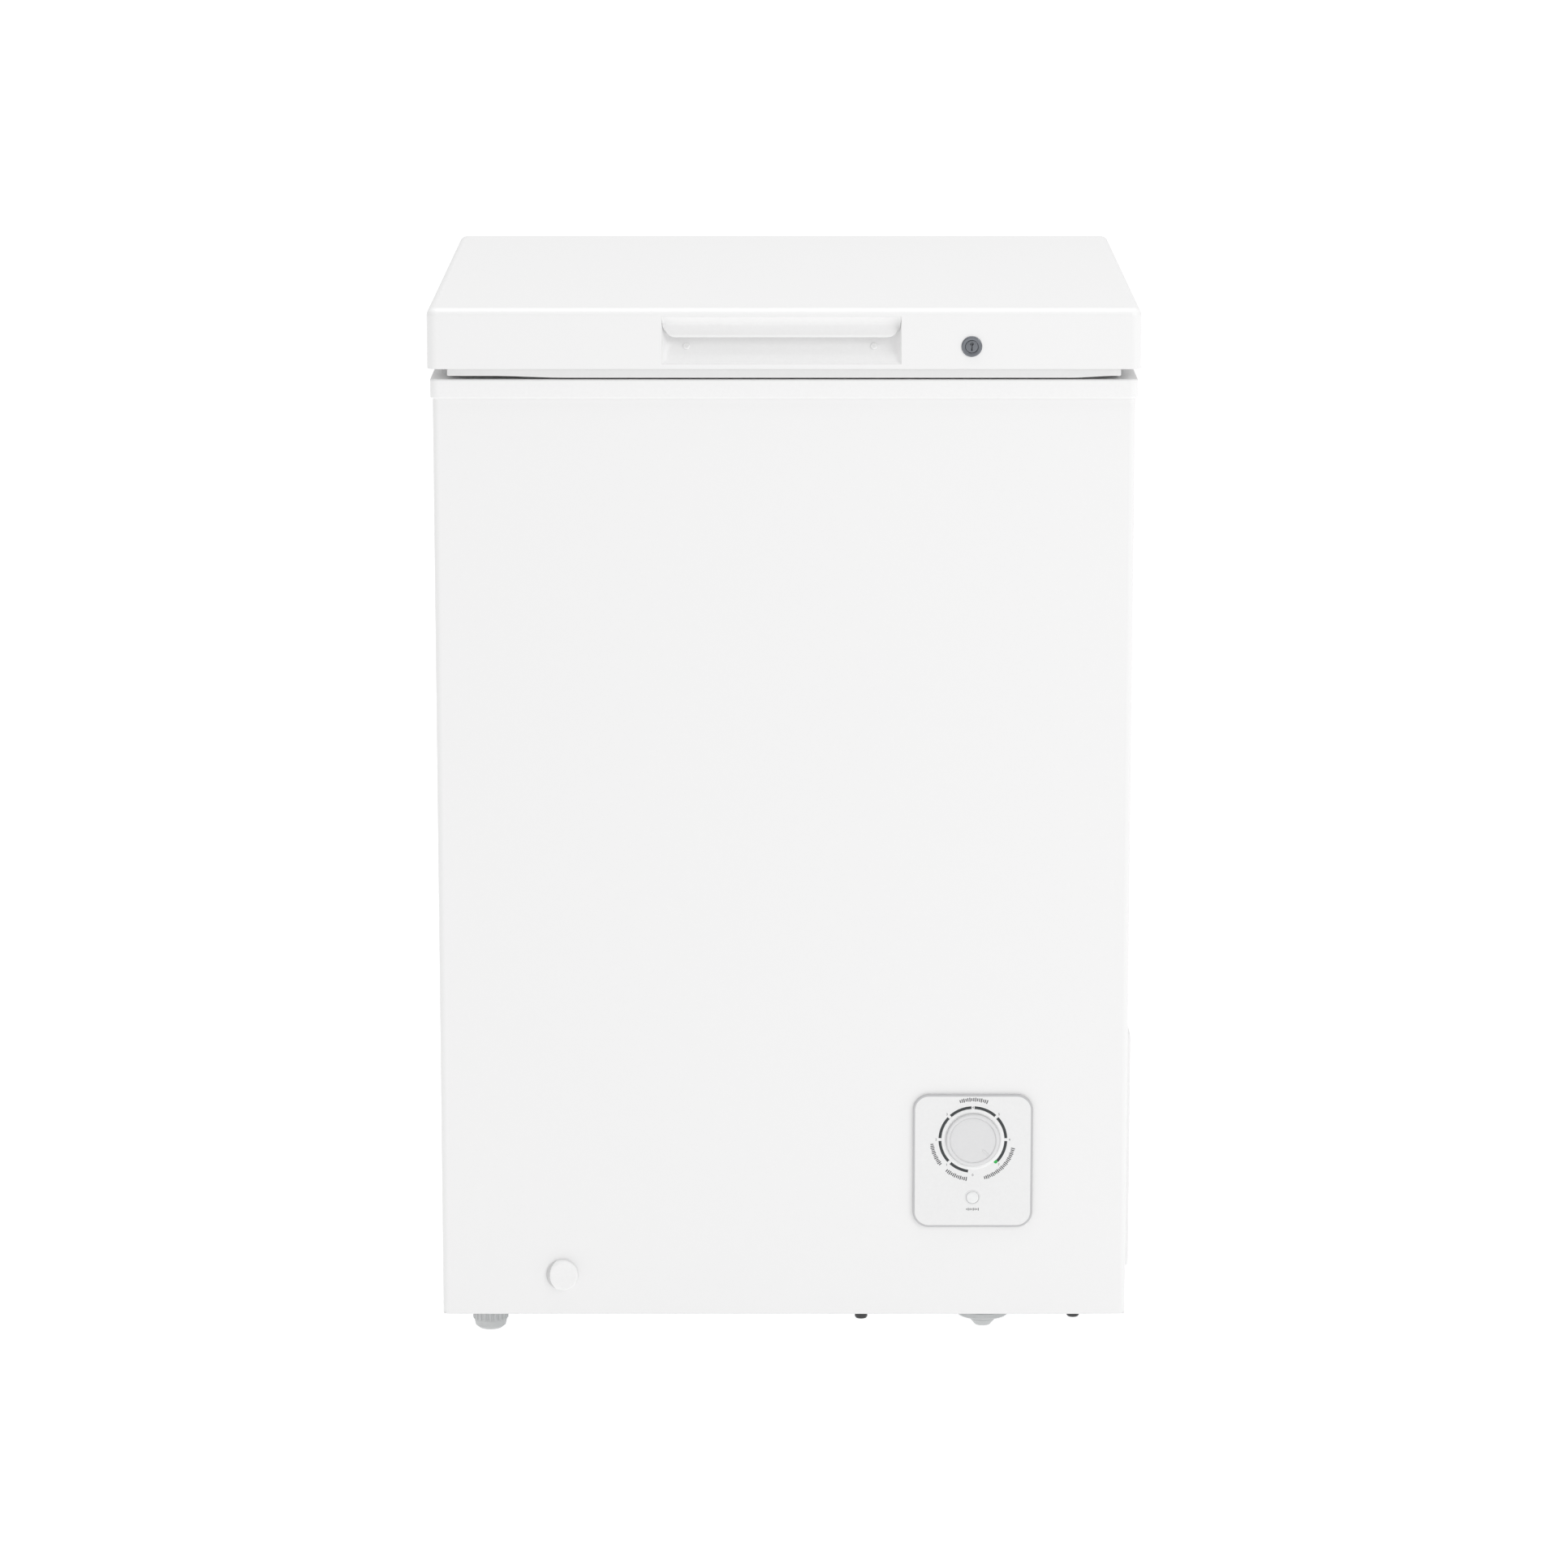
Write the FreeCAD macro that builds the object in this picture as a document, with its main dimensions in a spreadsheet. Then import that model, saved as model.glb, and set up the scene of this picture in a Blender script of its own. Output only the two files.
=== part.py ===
"""A small chest freezer: cabinet, counterbalanced lid, refrigeration set and basket.

Frame: +Z up, the front faces -Y, +X is the viewer's right. The origin is on the floor under the middle
of the closed freezer. Millimetres throughout. Every driving size is a cell of the Sizes spreadsheet.
"""
import FreeCAD, Part
import math
import os
import Sketcher

V = FreeCAD.Vector
doc = FreeCAD.newDocument("chest_freezer")
sheet = doc.addObject("Spreadsheet::Sheet", "Sizes")


# ---------------------------------------------------------------- sizes that know their expression
class Dim:
    """A length with its value now and the spreadsheet expression that gives it."""

    def __init__(self, value, text):
        self.value = float(value)
        self.text = text

    def __add__(self, other):
        other = dim(other)
        return Dim(self.value + other.value, f"({self.text} + {other.text})")

    def __sub__(self, other):
        other = dim(other)
        return Dim(self.value - other.value, f"({self.text} - {other.text})")

    def __mul__(self, number):
        return Dim(self.value * number, f"({self.text} * {number})")

    def __truediv__(self, number):
        return Dim(self.value / number, f"({self.text} / {number})")

    def __neg__(self):
        return Dim(-self.value, f"(0 - {self.text})")

    def __radd__(self, other):
        return dim(other) + self

    def __rsub__(self, other):
        return dim(other) - self


def dim(size):
    return size if isinstance(size, Dim) else Dim(size, f"({float(size)})")


def cell(alias, value, meaning):
    """One row of the Sizes sheet: meaning, value, alias."""
    row = cell.row = getattr(cell, "row", 0) + 1
    sheet.set(f"A{row}", meaning)
    sheet.set(f"B{row}", str(value))
    sheet.setAlias(f"B{row}", alias)
    return Dim(value, f"Sizes.{alias}")


lid_width = cell("lid_width", 564, "lid, side to side")
lid_height = cell("lid_height", 48, "lid skirt height")
lid_gauge = cell("lid_gauge", 1, "lid skin thickness")
overall_depth = cell("overall_depth", 540, "front of lock to back of hinge covers")
overall_height = cell("overall_height", 850, "floor to top of lid")
cabinet_width = cell("cabinet_width", 556, "cabinet, side to side")
lid_overhang = cell("lid_overhang", 4.8, "lid front proud of cabinet front")
lock_proud = cell("lock_proud", 1.2, "lock face proud of lid front")
hinge_room = cell("hinge_room", 20, "cabinet back to back of hinge covers")
cabinet_bottom = cell("cabinet_bottom", 26, "floor to underside of cabinet")
sheet_gauge = cell("sheet_gauge", 0.8, "cabinet sheet thickness")
rim_top = cell("rim_top", 793.5, "floor to top of rim")
rim_plate = cell("rim_plate", 3, "rim top thickness")
rim_height = cell("rim_height", 15.5, "rim skirt height")
rim_overhang = cell("rim_overhang", 2, "rim proud of cabinet sheet")
wall = cell("wall", 60, "insulation thickness of the walls")
floor_wall = cell("floor_wall", 62, "insulation thickness under the tub")
liner_gauge = cell("liner_gauge", 1, "tub liner thickness")
machine_width = cell("machine_width", 180, "machine compartment, side to side")
machine_top = cell("machine_top", 230, "floor to roof of the machine compartment")
step_wall = cell("step_wall", 50, "insulation over and beside the machine compartment")
gasket_inset = cell("gasket_inset", 16, "lid edge to gasket face")
hinge_spacing = cell("hinge_spacing", 340, "between the hinge middles")
hinge_behind = cell("hinge_behind", 9, "hinge axis behind the cabinet back")
hinge_height = cell("hinge_height", 806, "floor to hinge axis")
pin_radius = cell("pin_radius", 3, "hinge pin radius")
knuckle_radius = cell("knuckle_radius", 6.4, "hinge knuckle radius")
handle_width = cell("handle_width", 189, "handle recess, side to side")
handle_low = cell("handle_low", 806, "floor to bottom of handle recess")
handle_high = cell("handle_high", 843.5, "floor to top of handle recess")
handle_depth = cell("handle_depth", 15.5, "lid front to back of the handle pocket")
lock_across = cell("lock_across", 148, "middle plane to lock axis")
lock_height = cell("lock_height", 820, "floor to lock axis")
lock_radius = cell("lock_radius", 8.2, "lock flange radius")
panel_across = cell("panel_across", 153, "middle plane to control panel middle")
panel_height = cell("panel_height", 155.5, "floor to control panel middle")
panel_wide = cell("panel_wide", 97, "control panel, side to side")
panel_tall = cell("panel_tall", 111, "control panel, top to bottom")
panel_corner = cell("panel_corner", 13, "control panel corner radius")
knob_height = cell("knob_height", 173.5, "floor to thermostat knob axis")
knob_radius = cell("knob_radius", 21.5, "thermostat knob radius")
lamp_height = cell("lamp_height", 125, "floor to indicator lamp axis")
drain_across = cell("drain_across", 180.5, "middle plane to drain axis")
drain_height = cell("drain_height", 59.5, "floor to drain axis")
foot_across = cell("foot_across", 241.8, "middle plane to left foot")
foot_right = cell("foot_right", 163.8, "middle plane to front right foot")
foot_back = cell("foot_back", 52, "cabinet face to left foot axis")
foot_right_back = cell("foot_right_back", 60, "cabinet face to right foot axis")
foot_radius = cell("foot_radius", 14.6, "levelling foot radius")
coil_tube = cell("coil_tube", 4, "refrigerant tube radius")
coil_pitch = cell("coil_pitch", 58, "between evaporator turns")
basket_width = cell("basket_width", 212, "basket, side to side")
basket_drop = cell("basket_drop", 170, "basket depth")
vent_low = cell("vent_low", 57, "floor to bottom of side vent cover")
vent_high = cell("vent_high", 253, "floor to top of side vent cover")
vent_proud = cell("vent_proud", 4, "side vent cover proud of the side")
vent_front = cell("vent_front", -234, "front edge of side vent cover")
vent_back = cell("vent_back", -34, "back edge of side vent cover")
fold_radius = cell("fold_radius", 5, "bend radius of the front corners")
flange_width = cell("flange_width", 20, "return flange along the bottom")
tub_corner = cell("tub_corner", 22, "upright corner radius of the tub")
ledge = cell("ledge", 9, "basket ledge, each side")
ledge_height = cell("ledge_height", 768, "floor to basket ledge")
base_plate = cell("base_plate", 2, "machine base plate thickness")
compressor_radius = cell("compressor_radius", 62, "compressor can radius")
compressor_height = cell("compressor_height", 150, "compressor can height")
compressor_x = cell("compressor_x", 190, "middle plane to compressor axis")
compressor_y = cell("compressor_y", 110, "compressor axis, towards the back")
bolt_apart_x = cell("bolt_apart_x", 100, "compressor mountings, side to side")
bolt_apart_y = cell("bolt_apart_y", 150, "compressor mountings, front to back")
bolt_radius = cell("bolt_radius", 3, "compressor mounting bolt radius")
bolt_shank = cell("bolt_shank", 2.6, "base bolt shank radius")
grommet_neck = cell("grommet_neck", 6, "grommet neck radius")
grommet_tall = cell("grommet_tall", 14, "grommet above the base plate")
foot_stud = cell("foot_stud", 4, "levelling stud radius")
rear_foot_y = cell("rear_foot_y", 214, "rear feet, towards the back")
drain_bore = cell("drain_bore", 9, "drain passage radius")
drain_back = cell("drain_back", 100, "cabinet front to drain bore")
coil_top = cell("coil_top", 742, "floor to first evaporator turn")
condenser_low = cell("condenser_low", 150, "floor to first condenser run")
condenser_pitch = cell("condenser_pitch", 90, "between condenser runs")
gasket_wide = cell("gasket_wide", 14, "lid gasket width")
gasket_gap = cell("gasket_gap", 0.4, "gasket clear of the rim before it is drawn down")
lip_gap = cell("lip_gap", 0.9, "front strip clear of the rim")
plug_depth = cell("plug_depth", 16, "lid lining below its flange")
plug_corner = cell("plug_corner", 14, "upright corner radius of the lid's plug")
plug_round = cell("plug_round", 5, "lower edge radius of the lid's plug")
lining = cell("lining", 1.2, "lid lining thickness")
lid_corner = cell("lid_corner", 8, "lid upright corner radius")
handle_across = cell("handle_across", -2, "middle plane to handle middle")
panel_thick = cell("panel_thick", 2.5, "control panel proud of the cabinet")
shaft_radius = cell("shaft_radius", 3, "thermostat shaft radius")
shaft_fit = cell("shaft_fit", 0.05, "running clearance of the shaft")
lamp_radius = cell("lamp_radius", 5.5, "lamp lens radius")
screw_radius = cell("screw_radius", 1.9, "screw shank radius")
screw_head = cell("screw_head", 3.9, "screw head radius")
screw_sunk = cell("screw_sunk", 2.3, "vent screw heads below the cover's face")
gland_radius = cell("gland_radius", 8, "cord gland neck radius")
cap_bore = cell("cap_bore", 8.4, "drain socket bore radius")
stud_fit = cell("stud_fit", 0.06, "running clearance of the studs")
base_bolt_left = cell("base_bolt_left", 63, "middle plane to inner base bolt")
bolt_back = cell("bolt_back", 12, "cabinet face to base bolts")
base_bolt_right = cell("base_bolt_right", 236, "middle plane to outer base bolt")
barrel_radius = cell("barrel_radius", 7.2, "lock barrel radius")
plug_radius = cell("plug_radius", 5, "lock core radius")
lock_fit = cell("lock_fit", 0.05, "running clearance of the lock core")
cam_reach = cell("cam_reach", 36, "lock axis to cam tip")
cam_gauge = cell("cam_gauge", 2.2, "lock cam thickness")
pin_fit = cell("pin_fit", 0.05, "running clearance of the hinge pins")
leaf_half = cell("leaf_half", 28, "half the hinge leaf width")
leaf_gauge = cell("leaf_gauge", 2.5, "hinge leaf thickness")
frame_wire = cell("frame_wire", 2.5, "basket frame wire radius")
thin_wire = cell("thin_wire", 1.5, "basket wire radius")

# places worked out from the driving sizes
front = -overall_depth / 2
lid_front = front + lock_proud
lid_back = overall_depth / 2 - hinge_room
lid_bottom = overall_height - lid_height
lid_half = lid_width / 2
cab_front = lid_front + lid_overhang
cab_back = lid_back
cab_half = cabinet_width / 2
sheet_top = rim_top - rim_plate
pan_top = cabinet_bottom + sheet_gauge * 2
tub_half = cab_half - wall
tub_front = cab_front + wall
tub_back = cab_back - wall
tub_floor = pan_top + floor_wall - 0.6
machine_left = cab_half - machine_width
step_left = machine_left - step_wall
step_top = machine_top + step_wall
hinge_y = cab_back + hinge_behind
bolt_y = cab_front + bolt_back
foot_y = cab_front + foot_back
foot_right_y = cab_front + foot_right_back
compressor_bolts_x = [compressor_x - bolt_apart_x / 2, compressor_x + bolt_apart_x / 2]
compressor_bolts_y = [compressor_y - bolt_apart_y / 2, compressor_y + bolt_apart_y / 2]
grommet_top = cabinet_bottom + sheet_gauge + base_plate + grommet_tall
leg_gauge = 3
compressor_low = grommet_top + leg_gauge
drier_x = compressor_x - compressor_radius - 16
drier_y = compressor_y - 70
drier_low = compressor_low + 20
drier_tall = 96
drain_y = cab_front + drain_back
cam_front = lid_front + 8
keeper_low = (lock_across - 20, cam_front - 2.2, sheet_top - 16)
keeper_high = (lock_across + 26, cam_front + 5, sheet_top)
coil_off = coil_tube + 0.5
coil_turns, low_turns, condenser_runs = 11, 3, 6
stud_top = cabinet_bottom + 12
plug_low = (dim(-205), tub_front + 6, lid_bottom + lid_gauge + lining - plug_depth)
plug_high = (dim(205), tub_back - 6, lid_bottom + lid_gauge + lining)
housing_low = (lock_across - 14, lid_front + lid_gauge, lid_bottom + lid_gauge + lining)
housing_high = (lock_across + 44, lid_front + 13.2, lock_height + 14)
basket_top = ledge_height + liner_gauge + frame_wire + 0.3
basket_near = tub_front - ledge + liner_gauge + frame_wire + 1
basket_far = tub_back + ledge - liner_gauge - frame_wire - 1
basket_right = tub_half - liner_gauge - 11
basket_left = basket_right - basket_width
doc.recompute()


# ---------------------------------------------------------------- modelling helpers
def bind(thing, prop, size):
    """Gives a property its size, by expression where the size comes from the sheet."""
    size = dim(size)
    thing.setExpression(prop, size.text)


TURN = {
    "x": FreeCAD.Rotation(V(0, 1, 0), 90),
    "y": FreeCAD.Rotation(V(1, 0, 0), -90),
    "z": FreeCAD.Rotation(),
}


def put(thing, at, axis="z"):
    thing.Placement = FreeCAD.Placement(V(), TURN[axis])
    for letter, size in zip("xyz", at):
        bind(thing, f"Placement.Base.{letter}", size)
    return thing


def box(low, high):
    """A block between two opposite corners."""
    thing = doc.addObject("Part::Box", "block")
    for prop, a, b in zip(("Length", "Width", "Height"), low, high):
        bind(thing, prop, dim(b) - a)
    return put(thing, low)


def rod(radius, length, at, axis="z"):
    """A cylinder from at, along axis."""
    thing = doc.addObject("Part::Cylinder", "rod")
    bind(thing, "Radius", radius)
    bind(thing, "Height", length)
    return put(thing, at, axis)


def fuse(*things):
    thing = doc.addObject("Part::MultiFuse", "joined")
    thing.Shapes = list(things)
    return thing


def cut(base, *tools):
    thing = doc.addObject("Part::Cut", "cut")
    thing.Base = base
    thing.Tool = tools[0] if len(tools) == 1 else fuse(*tools)
    return thing


def group(*things):
    """Several like pieces that share one node."""
    thing = doc.addObject("Part::Compound", "set")
    thing.Links = list(things)
    return thing


def soften(base, radius, pick):
    """Rounds the edges of a Part object that pick chooses."""
    doc.recompute()
    thing = doc.addObject("Part::Fillet", "rounded")
    thing.Base = base
    size = dim(radius).value
    chosen = [i + 1 for i, e in enumerate(base.Shape.Edges) if pick(e)]
    thing.Edges = [(i, size, size) for i in chosen]
    doc.recompute()
    if not chosen or thing.Shape.isNull() or not thing.Shape.isValid():
        raise RuntimeError(f"rounding {len(chosen)} edges by {size} failed")
    return thing


def along(edge, axis):
    """True for a straight edge parallel to axis."""
    if edge.Curve.TypeId != "Part::GeomLine":
        return False
    return abs(abs(getattr(edge.Curve.Direction, axis)) - 1) < 1e-6


def level(edge, axis, *places):
    """True for an edge that lies in a plane across axis, at one of the places."""
    bounds = edge.BoundBox
    low, high = getattr(bounds, axis.upper() + "Min"), getattr(bounds, axis.upper() + "Max")
    return any(abs(low - dim(p).value) < 1e-3 and abs(high - dim(p).value) < 1e-3 for p in places)


def new_body():
    return doc.addObject("PartDesign::Body", "Body")


def sketch(body, plane, offset, loops):
    """A sketch on one of the body's origin planes. A loop is a list of corners or a (x, y, radius) circle."""
    drawing = body.newObject("Sketcher::SketchObject", "outline")
    support = [f for f in body.Origin.OriginFeatures if f.Role == plane + "_Plane"][0]
    drawing.AttachmentSupport = [(support, "")]
    drawing.MapMode = "FlatFace"
    away = -dim(offset) if plane == "XZ" else dim(offset)
    bind(drawing, "AttachmentOffset.Base.z", away)
    for loop in loops:
        if isinstance(loop, tuple):
            add_circle(drawing, *loop)
        else:
            add_polygon(drawing, loop)
    return drawing


def fix(drawing, kind, place, size):
    """Adds a dimension to a sketch and binds it."""
    number = drawing.addConstraint(Sketcher.Constraint(kind, *place, dim(size).value))
    drawing.setExpression(f"Constraints[{number}]", dim(size).text)


def add_circle(drawing, x, y, radius):
    middle = V(dim(x).value, dim(y).value, 0)
    line = drawing.addGeometry(Part.Circle(middle, V(0, 0, 1), dim(radius).value))
    fix(drawing, "Radius", (line,), radius)
    fix(drawing, "DistanceX", (-1, 1, line, 3), x)
    fix(drawing, "DistanceY", (-1, 1, line, 3), y)


def add_polygon(drawing, corners):
    ends = [V(dim(x).value, dim(y).value, 0) for x, y in corners]
    count = len(ends)
    first = drawing.GeometryCount
    for i in range(count):
        drawing.addGeometry(Part.LineSegment(ends[i], ends[(i + 1) % count]))
    for i in range(count):
        drawing.addConstraint(Sketcher.Constraint("Coincident", first + i, 2, first + (i + 1) % count, 1))
    for i, (x, y) in enumerate(corners):
        fix(drawing, "DistanceX", (-1, 1, first + i, 1), x)
        fix(drawing, "DistanceY", (-1, 1, first + i, 1), y)


def rectangle(low, high):
    (x0, y0), (x1, y1) = low, high
    return [(x0, y0), (x1, y0), (x1, y1), (x0, y1)]


def pad(body, plane, low, high, *loops):
    """Adds the loops' area between two planes. Later loops inside the first are holes."""
    start = high if plane == "XZ" else low
    feature = body.newObject("PartDesign::Pad", "pad")
    feature.Profile = sketch(body, plane, start, loops)
    bind(feature, "Length", dim(high) - low)
    doc.recompute()
    return body


def pocket(body, plane, low, high, *loops):
    """Removes the loops' area between two planes."""
    doc.recompute()
    before = body.Shape.Volume
    start = low if plane == "XZ" else high
    drawing = sketch(body, plane, start, loops)
    feature = body.newObject("PartDesign::Pocket", "pocket")
    feature.Profile = drawing
    bind(feature, "Length", dim(high) - low)
    doc.recompute()
    if not body.Shape.Volume < before - 1e-6:
        raise RuntimeError("a pocket removed nothing")
    return body


def turned(outline, at, axis="z"):
    """A body turned about an axis: the outline's corners are (radius, distance along the axis)."""
    body = new_body()
    drawing = sketch(body, "XZ", 0, [outline])
    feature = body.newObject("PartDesign::Revolution", "turn")
    feature.Profile = drawing
    feature.ReferenceAxis = (drawing, ["V_Axis"])
    feature.Angle = 360
    doc.recompute()
    return put(body, at, axis)


def round_body(body, radius, pick):
    """Rounds the edges of a PartDesign body that pick chooses."""
    doc.recompute()
    tip = body.Tip
    names = [f"Edge{i + 1}" for i, e in enumerate(tip.Shape.Edges) if pick(e)]
    feature = body.newObject("PartDesign::Fillet", "round")
    feature.Base = (tip, names)
    bind(feature, "Radius", radius)
    doc.recompute()
    return body


def repeat(body, axis_role, count, span):
    """Repeats the body's last feature along one of its origin axes."""
    feature = body.newObject("PartDesign::LinearPattern", "row")
    feature.Originals = [body.Tip]
    line = [f for f in body.Origin.OriginFeatures if f.Role == axis_role][0]
    feature.Direction = (line, [""])
    feature.Mode = "Extent"
    bind(feature, "Length", span)
    feature.Occurrences = count
    body.Tip = feature
    doc.recompute()
    return body


def point(x, y, z):
    return V(dim(x).value, dim(y).value, dim(z).value)


def bent_path(points, bend):
    """Straight runs through the points, with an arc of radius bend at each corner."""
    edges, start = [], points[0]
    for before, corner, after in zip(points, points[1:], points[2:]):
        back, ahead = (before - corner).normalize(), (after - corner).normalize()
        half = back.getAngle(ahead) / 2
        reach = bend / math.tan(half)
        inward = (back + ahead).normalize()
        middle = corner + inward * (bend / math.sin(half) - bend)
        first, last = corner + back * reach, corner + ahead * reach
        edges.append(Part.LineSegment(start, first).toShape())
        edges.append(Part.Arc(first, middle, last).toShape())
        start = last
    edges.append(Part.LineSegment(start, points[-1]).toShape())
    return Part.Wire(edges)


def tube_shape(points, radius, bend):
    path = bent_path(points, bend)
    ring = Part.Circle(points[0], points[1] - points[0], radius)
    return path.makePipeShell([Part.Wire([ring.toShape()])], True, False)


def feature_of(shape, name="formed"):
    thing = doc.addObject("Part::Feature", name)
    thing.Shape = shape
    return thing


nodes = []


def node(label, thing):
    """Names a finished sub-part."""
    thing.Label = label
    nodes.append(thing)
    return thing


# ---------------------------------------------------------------- cabinet casing
def outer_shell():
    """Painted sheet wrapped round the front and sides, with a return flange along the bottom."""
    x, y, inner = cab_half, cab_front, sheet_gauge
    wrap = [
        (-x, y), (x, y), (x, cab_back), (x - inner, cab_back), (x - inner, y + inner),
        (-x + inner, y + inner), (-x + inner, cab_back), (-x, cab_back),
    ]
    body = pad(new_body(), "XY", cabinet_bottom, sheet_top, wrap)
    at_front = lambda e: along(e, "z") and level(e, "y", y)
    behind = lambda e: along(e, "z") and level(e, "y", y + inner)
    round_body(body, fold_radius, at_front)
    round_body(body, fold_radius - inner, behind)
    lip = flange_width
    flange = [
        (-x + inner, y + inner), (x - inner, y + inner), (x - inner, cab_back), (x - lip, cab_back),
        (x - lip, y + lip), (-x + lip, y + lip), (-x + lip, cab_back), (-x + inner, cab_back),
    ]
    pad(body, "XY", cabinet_bottom, cabinet_bottom + inner, flange)
    for across in (base_bolt_left, base_bolt_right):
        pocket(body, "XY", cabinet_bottom - 1, cabinet_bottom + 2, (across, bolt_y, bolt_shank))
    wide, tall = panel_wide / 2 - 8, panel_tall / 2 - 8
    opening = rectangle(
        (panel_across - wide, panel_height - tall), (panel_across + wide, panel_height + tall)
    )
    pocket(body, "XZ", y - 1, y + 1, opening, (-drain_across, drain_height, 11))
    side = rectangle((vent_front + 13, vent_low + 14), (vent_back - 13, vent_high - 28))
    screws = [(y, z, screw_radius) for y, z in vent_corners()]
    return pocket(body, "YZ", x - 1, x + 1, side, *screws)


def back_panel():
    """Flat sheet closing the back, open behind the machine compartment."""
    x = cab_half - sheet_gauge
    body = pad(
        new_body(), "XZ", cab_back - sheet_gauge, cab_back,
        rectangle((-x, cabinet_bottom + sheet_gauge), (x, sheet_top)),
        rectangle((machine_left + 12, cabinet_bottom + 3.4), (x - 13, machine_top - 8)),
        *[(x, z, screw_radius) for x, z in cabinet_leaf_screws() + rear_cover_corners()],
    )
    return body


def base_pan():
    """Galvanised pan under the foam."""
    x, y = cab_half - sheet_gauge, cab_front + fold_radius
    return pad(
        new_body(), "XY", pan_top - sheet_gauge, pan_top,
        rectangle((-x, y), (machine_left, cab_back - sheet_gauge)),
        (-foot_across, foot_y, foot_stud + 0.4),
        (base_bolt_left, bolt_y, bolt_shank),
    )


def machine_bulkhead():
    """Folded sheet between the foam and the machine compartment."""
    left, right = machine_left, cab_half - sheet_gauge
    low, high = pan_top, machine_top
    fold = [
        (left, low), (left + sheet_gauge, low), (left + sheet_gauge, high - sheet_gauge),
        (right, high - sheet_gauge), (right, high), (left, high),
    ]
    return pad(new_body(), "XZ", cab_front + fold_radius, cab_back - sheet_gauge, fold)


def machine_base_plate():
    """Steel tray under the compressor, with air slots and mounting holes."""
    low = cabinet_bottom + sheet_gauge
    left, right = machine_left + 2, cab_half - sheet_gauge * 2
    near, far = cab_front + fold_radius, cab_back - sheet_gauge * 2
    corners = [(x, y, grommet_neck) for x in compressor_bolts_x for y in compressor_bolts_y]
    body = pad(new_body(), "XY", low, low + base_plate, rectangle((left, near), (right, far)), *corners)
    stud = (foot_right, foot_right_y, foot_stud + 0.4)
    pocket(body, "XY", low - 1, low + base_plate + 1, stud, (base_bolt_right, bolt_y, bolt_shank))
    slot = rectangle((left + 30, near + 90), (left + 36, near + 170))
    pocket(body, "XY", low - 1, low + base_plate + 1, slot)
    return repeat(body, "X_Axis", 7, 114)


def tub_block(spread, low_gap):
    """The solid that the tub encloses: a deep well on the left and a shelf over the machine room."""
    left, right = -tub_half - spread, tub_half + spread
    near, far = tub_front - spread, tub_back + spread
    floor = tub_floor - low_gap
    corner = tub_corner + spread
    well = soften(box((left, near, floor), (step_left + spread, far, rim_top)), corner, corners_of(near, far))
    low_well = soften(well, corner / 2, lambda e: level(e, "z", floor))
    shelf = box((step_left - tub_corner * 2, near, step_top - low_gap), (right, far, rim_top))
    tub = fuse(low_well, soften(shelf, corner, lambda e: along(e, "z") and level(e, "x", right)))
    mouth = box((left, near - ledge, ledge_height - low_gap), (right, far + ledge, rim_top))
    return fuse(tub, soften(mouth, tub_corner + spread, corners_of(near - ledge, far + ledge)))


def corners_of(near, far):
    return lambda e: along(e, "z") and level(e, "y", near, far)


def inner_liner():
    """Moulded tub: well, shelf, basket ledge and drain socket."""
    hollow = tub_block(-liner_gauge, -liner_gauge)
    tub = cut(tub_block(dim(0), dim(0)), hollow)
    above = box((-cab_half, cab_front, sheet_top), (cab_half, cab_back, rim_top + 1))
    trimmed = cut(tub, above)
    sump = rod(drain_bore + liner_gauge, 8, (-drain_across, drain_y, tub_floor - 7.5))
    bore = rod(drain_bore, 20, (-drain_across, drain_y, tub_floor - 12))
    return cut(fuse(trimmed, sump), bore)


def cabinet_foam():
    """Foamed insulation: everything between the casing and the tub, less what is buried in it."""
    x = cab_half - sheet_gauge
    near, far = cab_front + sheet_gauge, cab_back - sheet_gauge
    rounded = soften(
        box((-x, near, pan_top), (x, far, sheet_top)), fold_radius - sheet_gauge, corners_of(near, near)
    )
    machine = box((machine_left, near - 1, pan_top - 1), (x + 1, far + 1, machine_top))
    nut = box((-foot_across - 8, foot_y - 8, pan_top - 1), (-foot_across + 8, foot_y + 8, pan_top + 8))
    stud = rod(foot_stud + 0.4, 14, (-foot_across, foot_y, pan_top))
    bolt = rod(bolt_shank, 8, (base_bolt_left, bolt_y, cabinet_bottom - 3.4))
    back_bores = [rod(screw_radius, 12, (x, cab_back - 7, z), "y") for x, z in cabinet_leaf_screws()]
    cover_bores = [rod(screw_radius, 12, (x, cab_back - 8, z), "y") for x, z in rear_cover_corners()]
    vent_bores = [rod(screw_radius, 12, (cab_half - 9, y, z), "x") for y, z in vent_corners()]
    buried = [box(keeper_low, keeper_high), nut, stud, bolt, *back_bores, *cover_bores, *vent_bores]
    return cut(rounded, tub_block(dim(0), dim(0)), machine, *foam_drain_way(), *buried)


def foam_drain_way():
    """Room for the drain hose, its front socket and the liner's sump."""
    socket = rod(drain_bore + 2.6, 13, (-drain_across, cab_front, drain_height), "y")
    sump = rod(drain_bore + 2.6, 10, (-drain_across, drain_y, tub_floor - 8.5))
    return [socket, sump, feature_of(tube_shape(drain_route(), hose_radius, hose_bend))]


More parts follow.
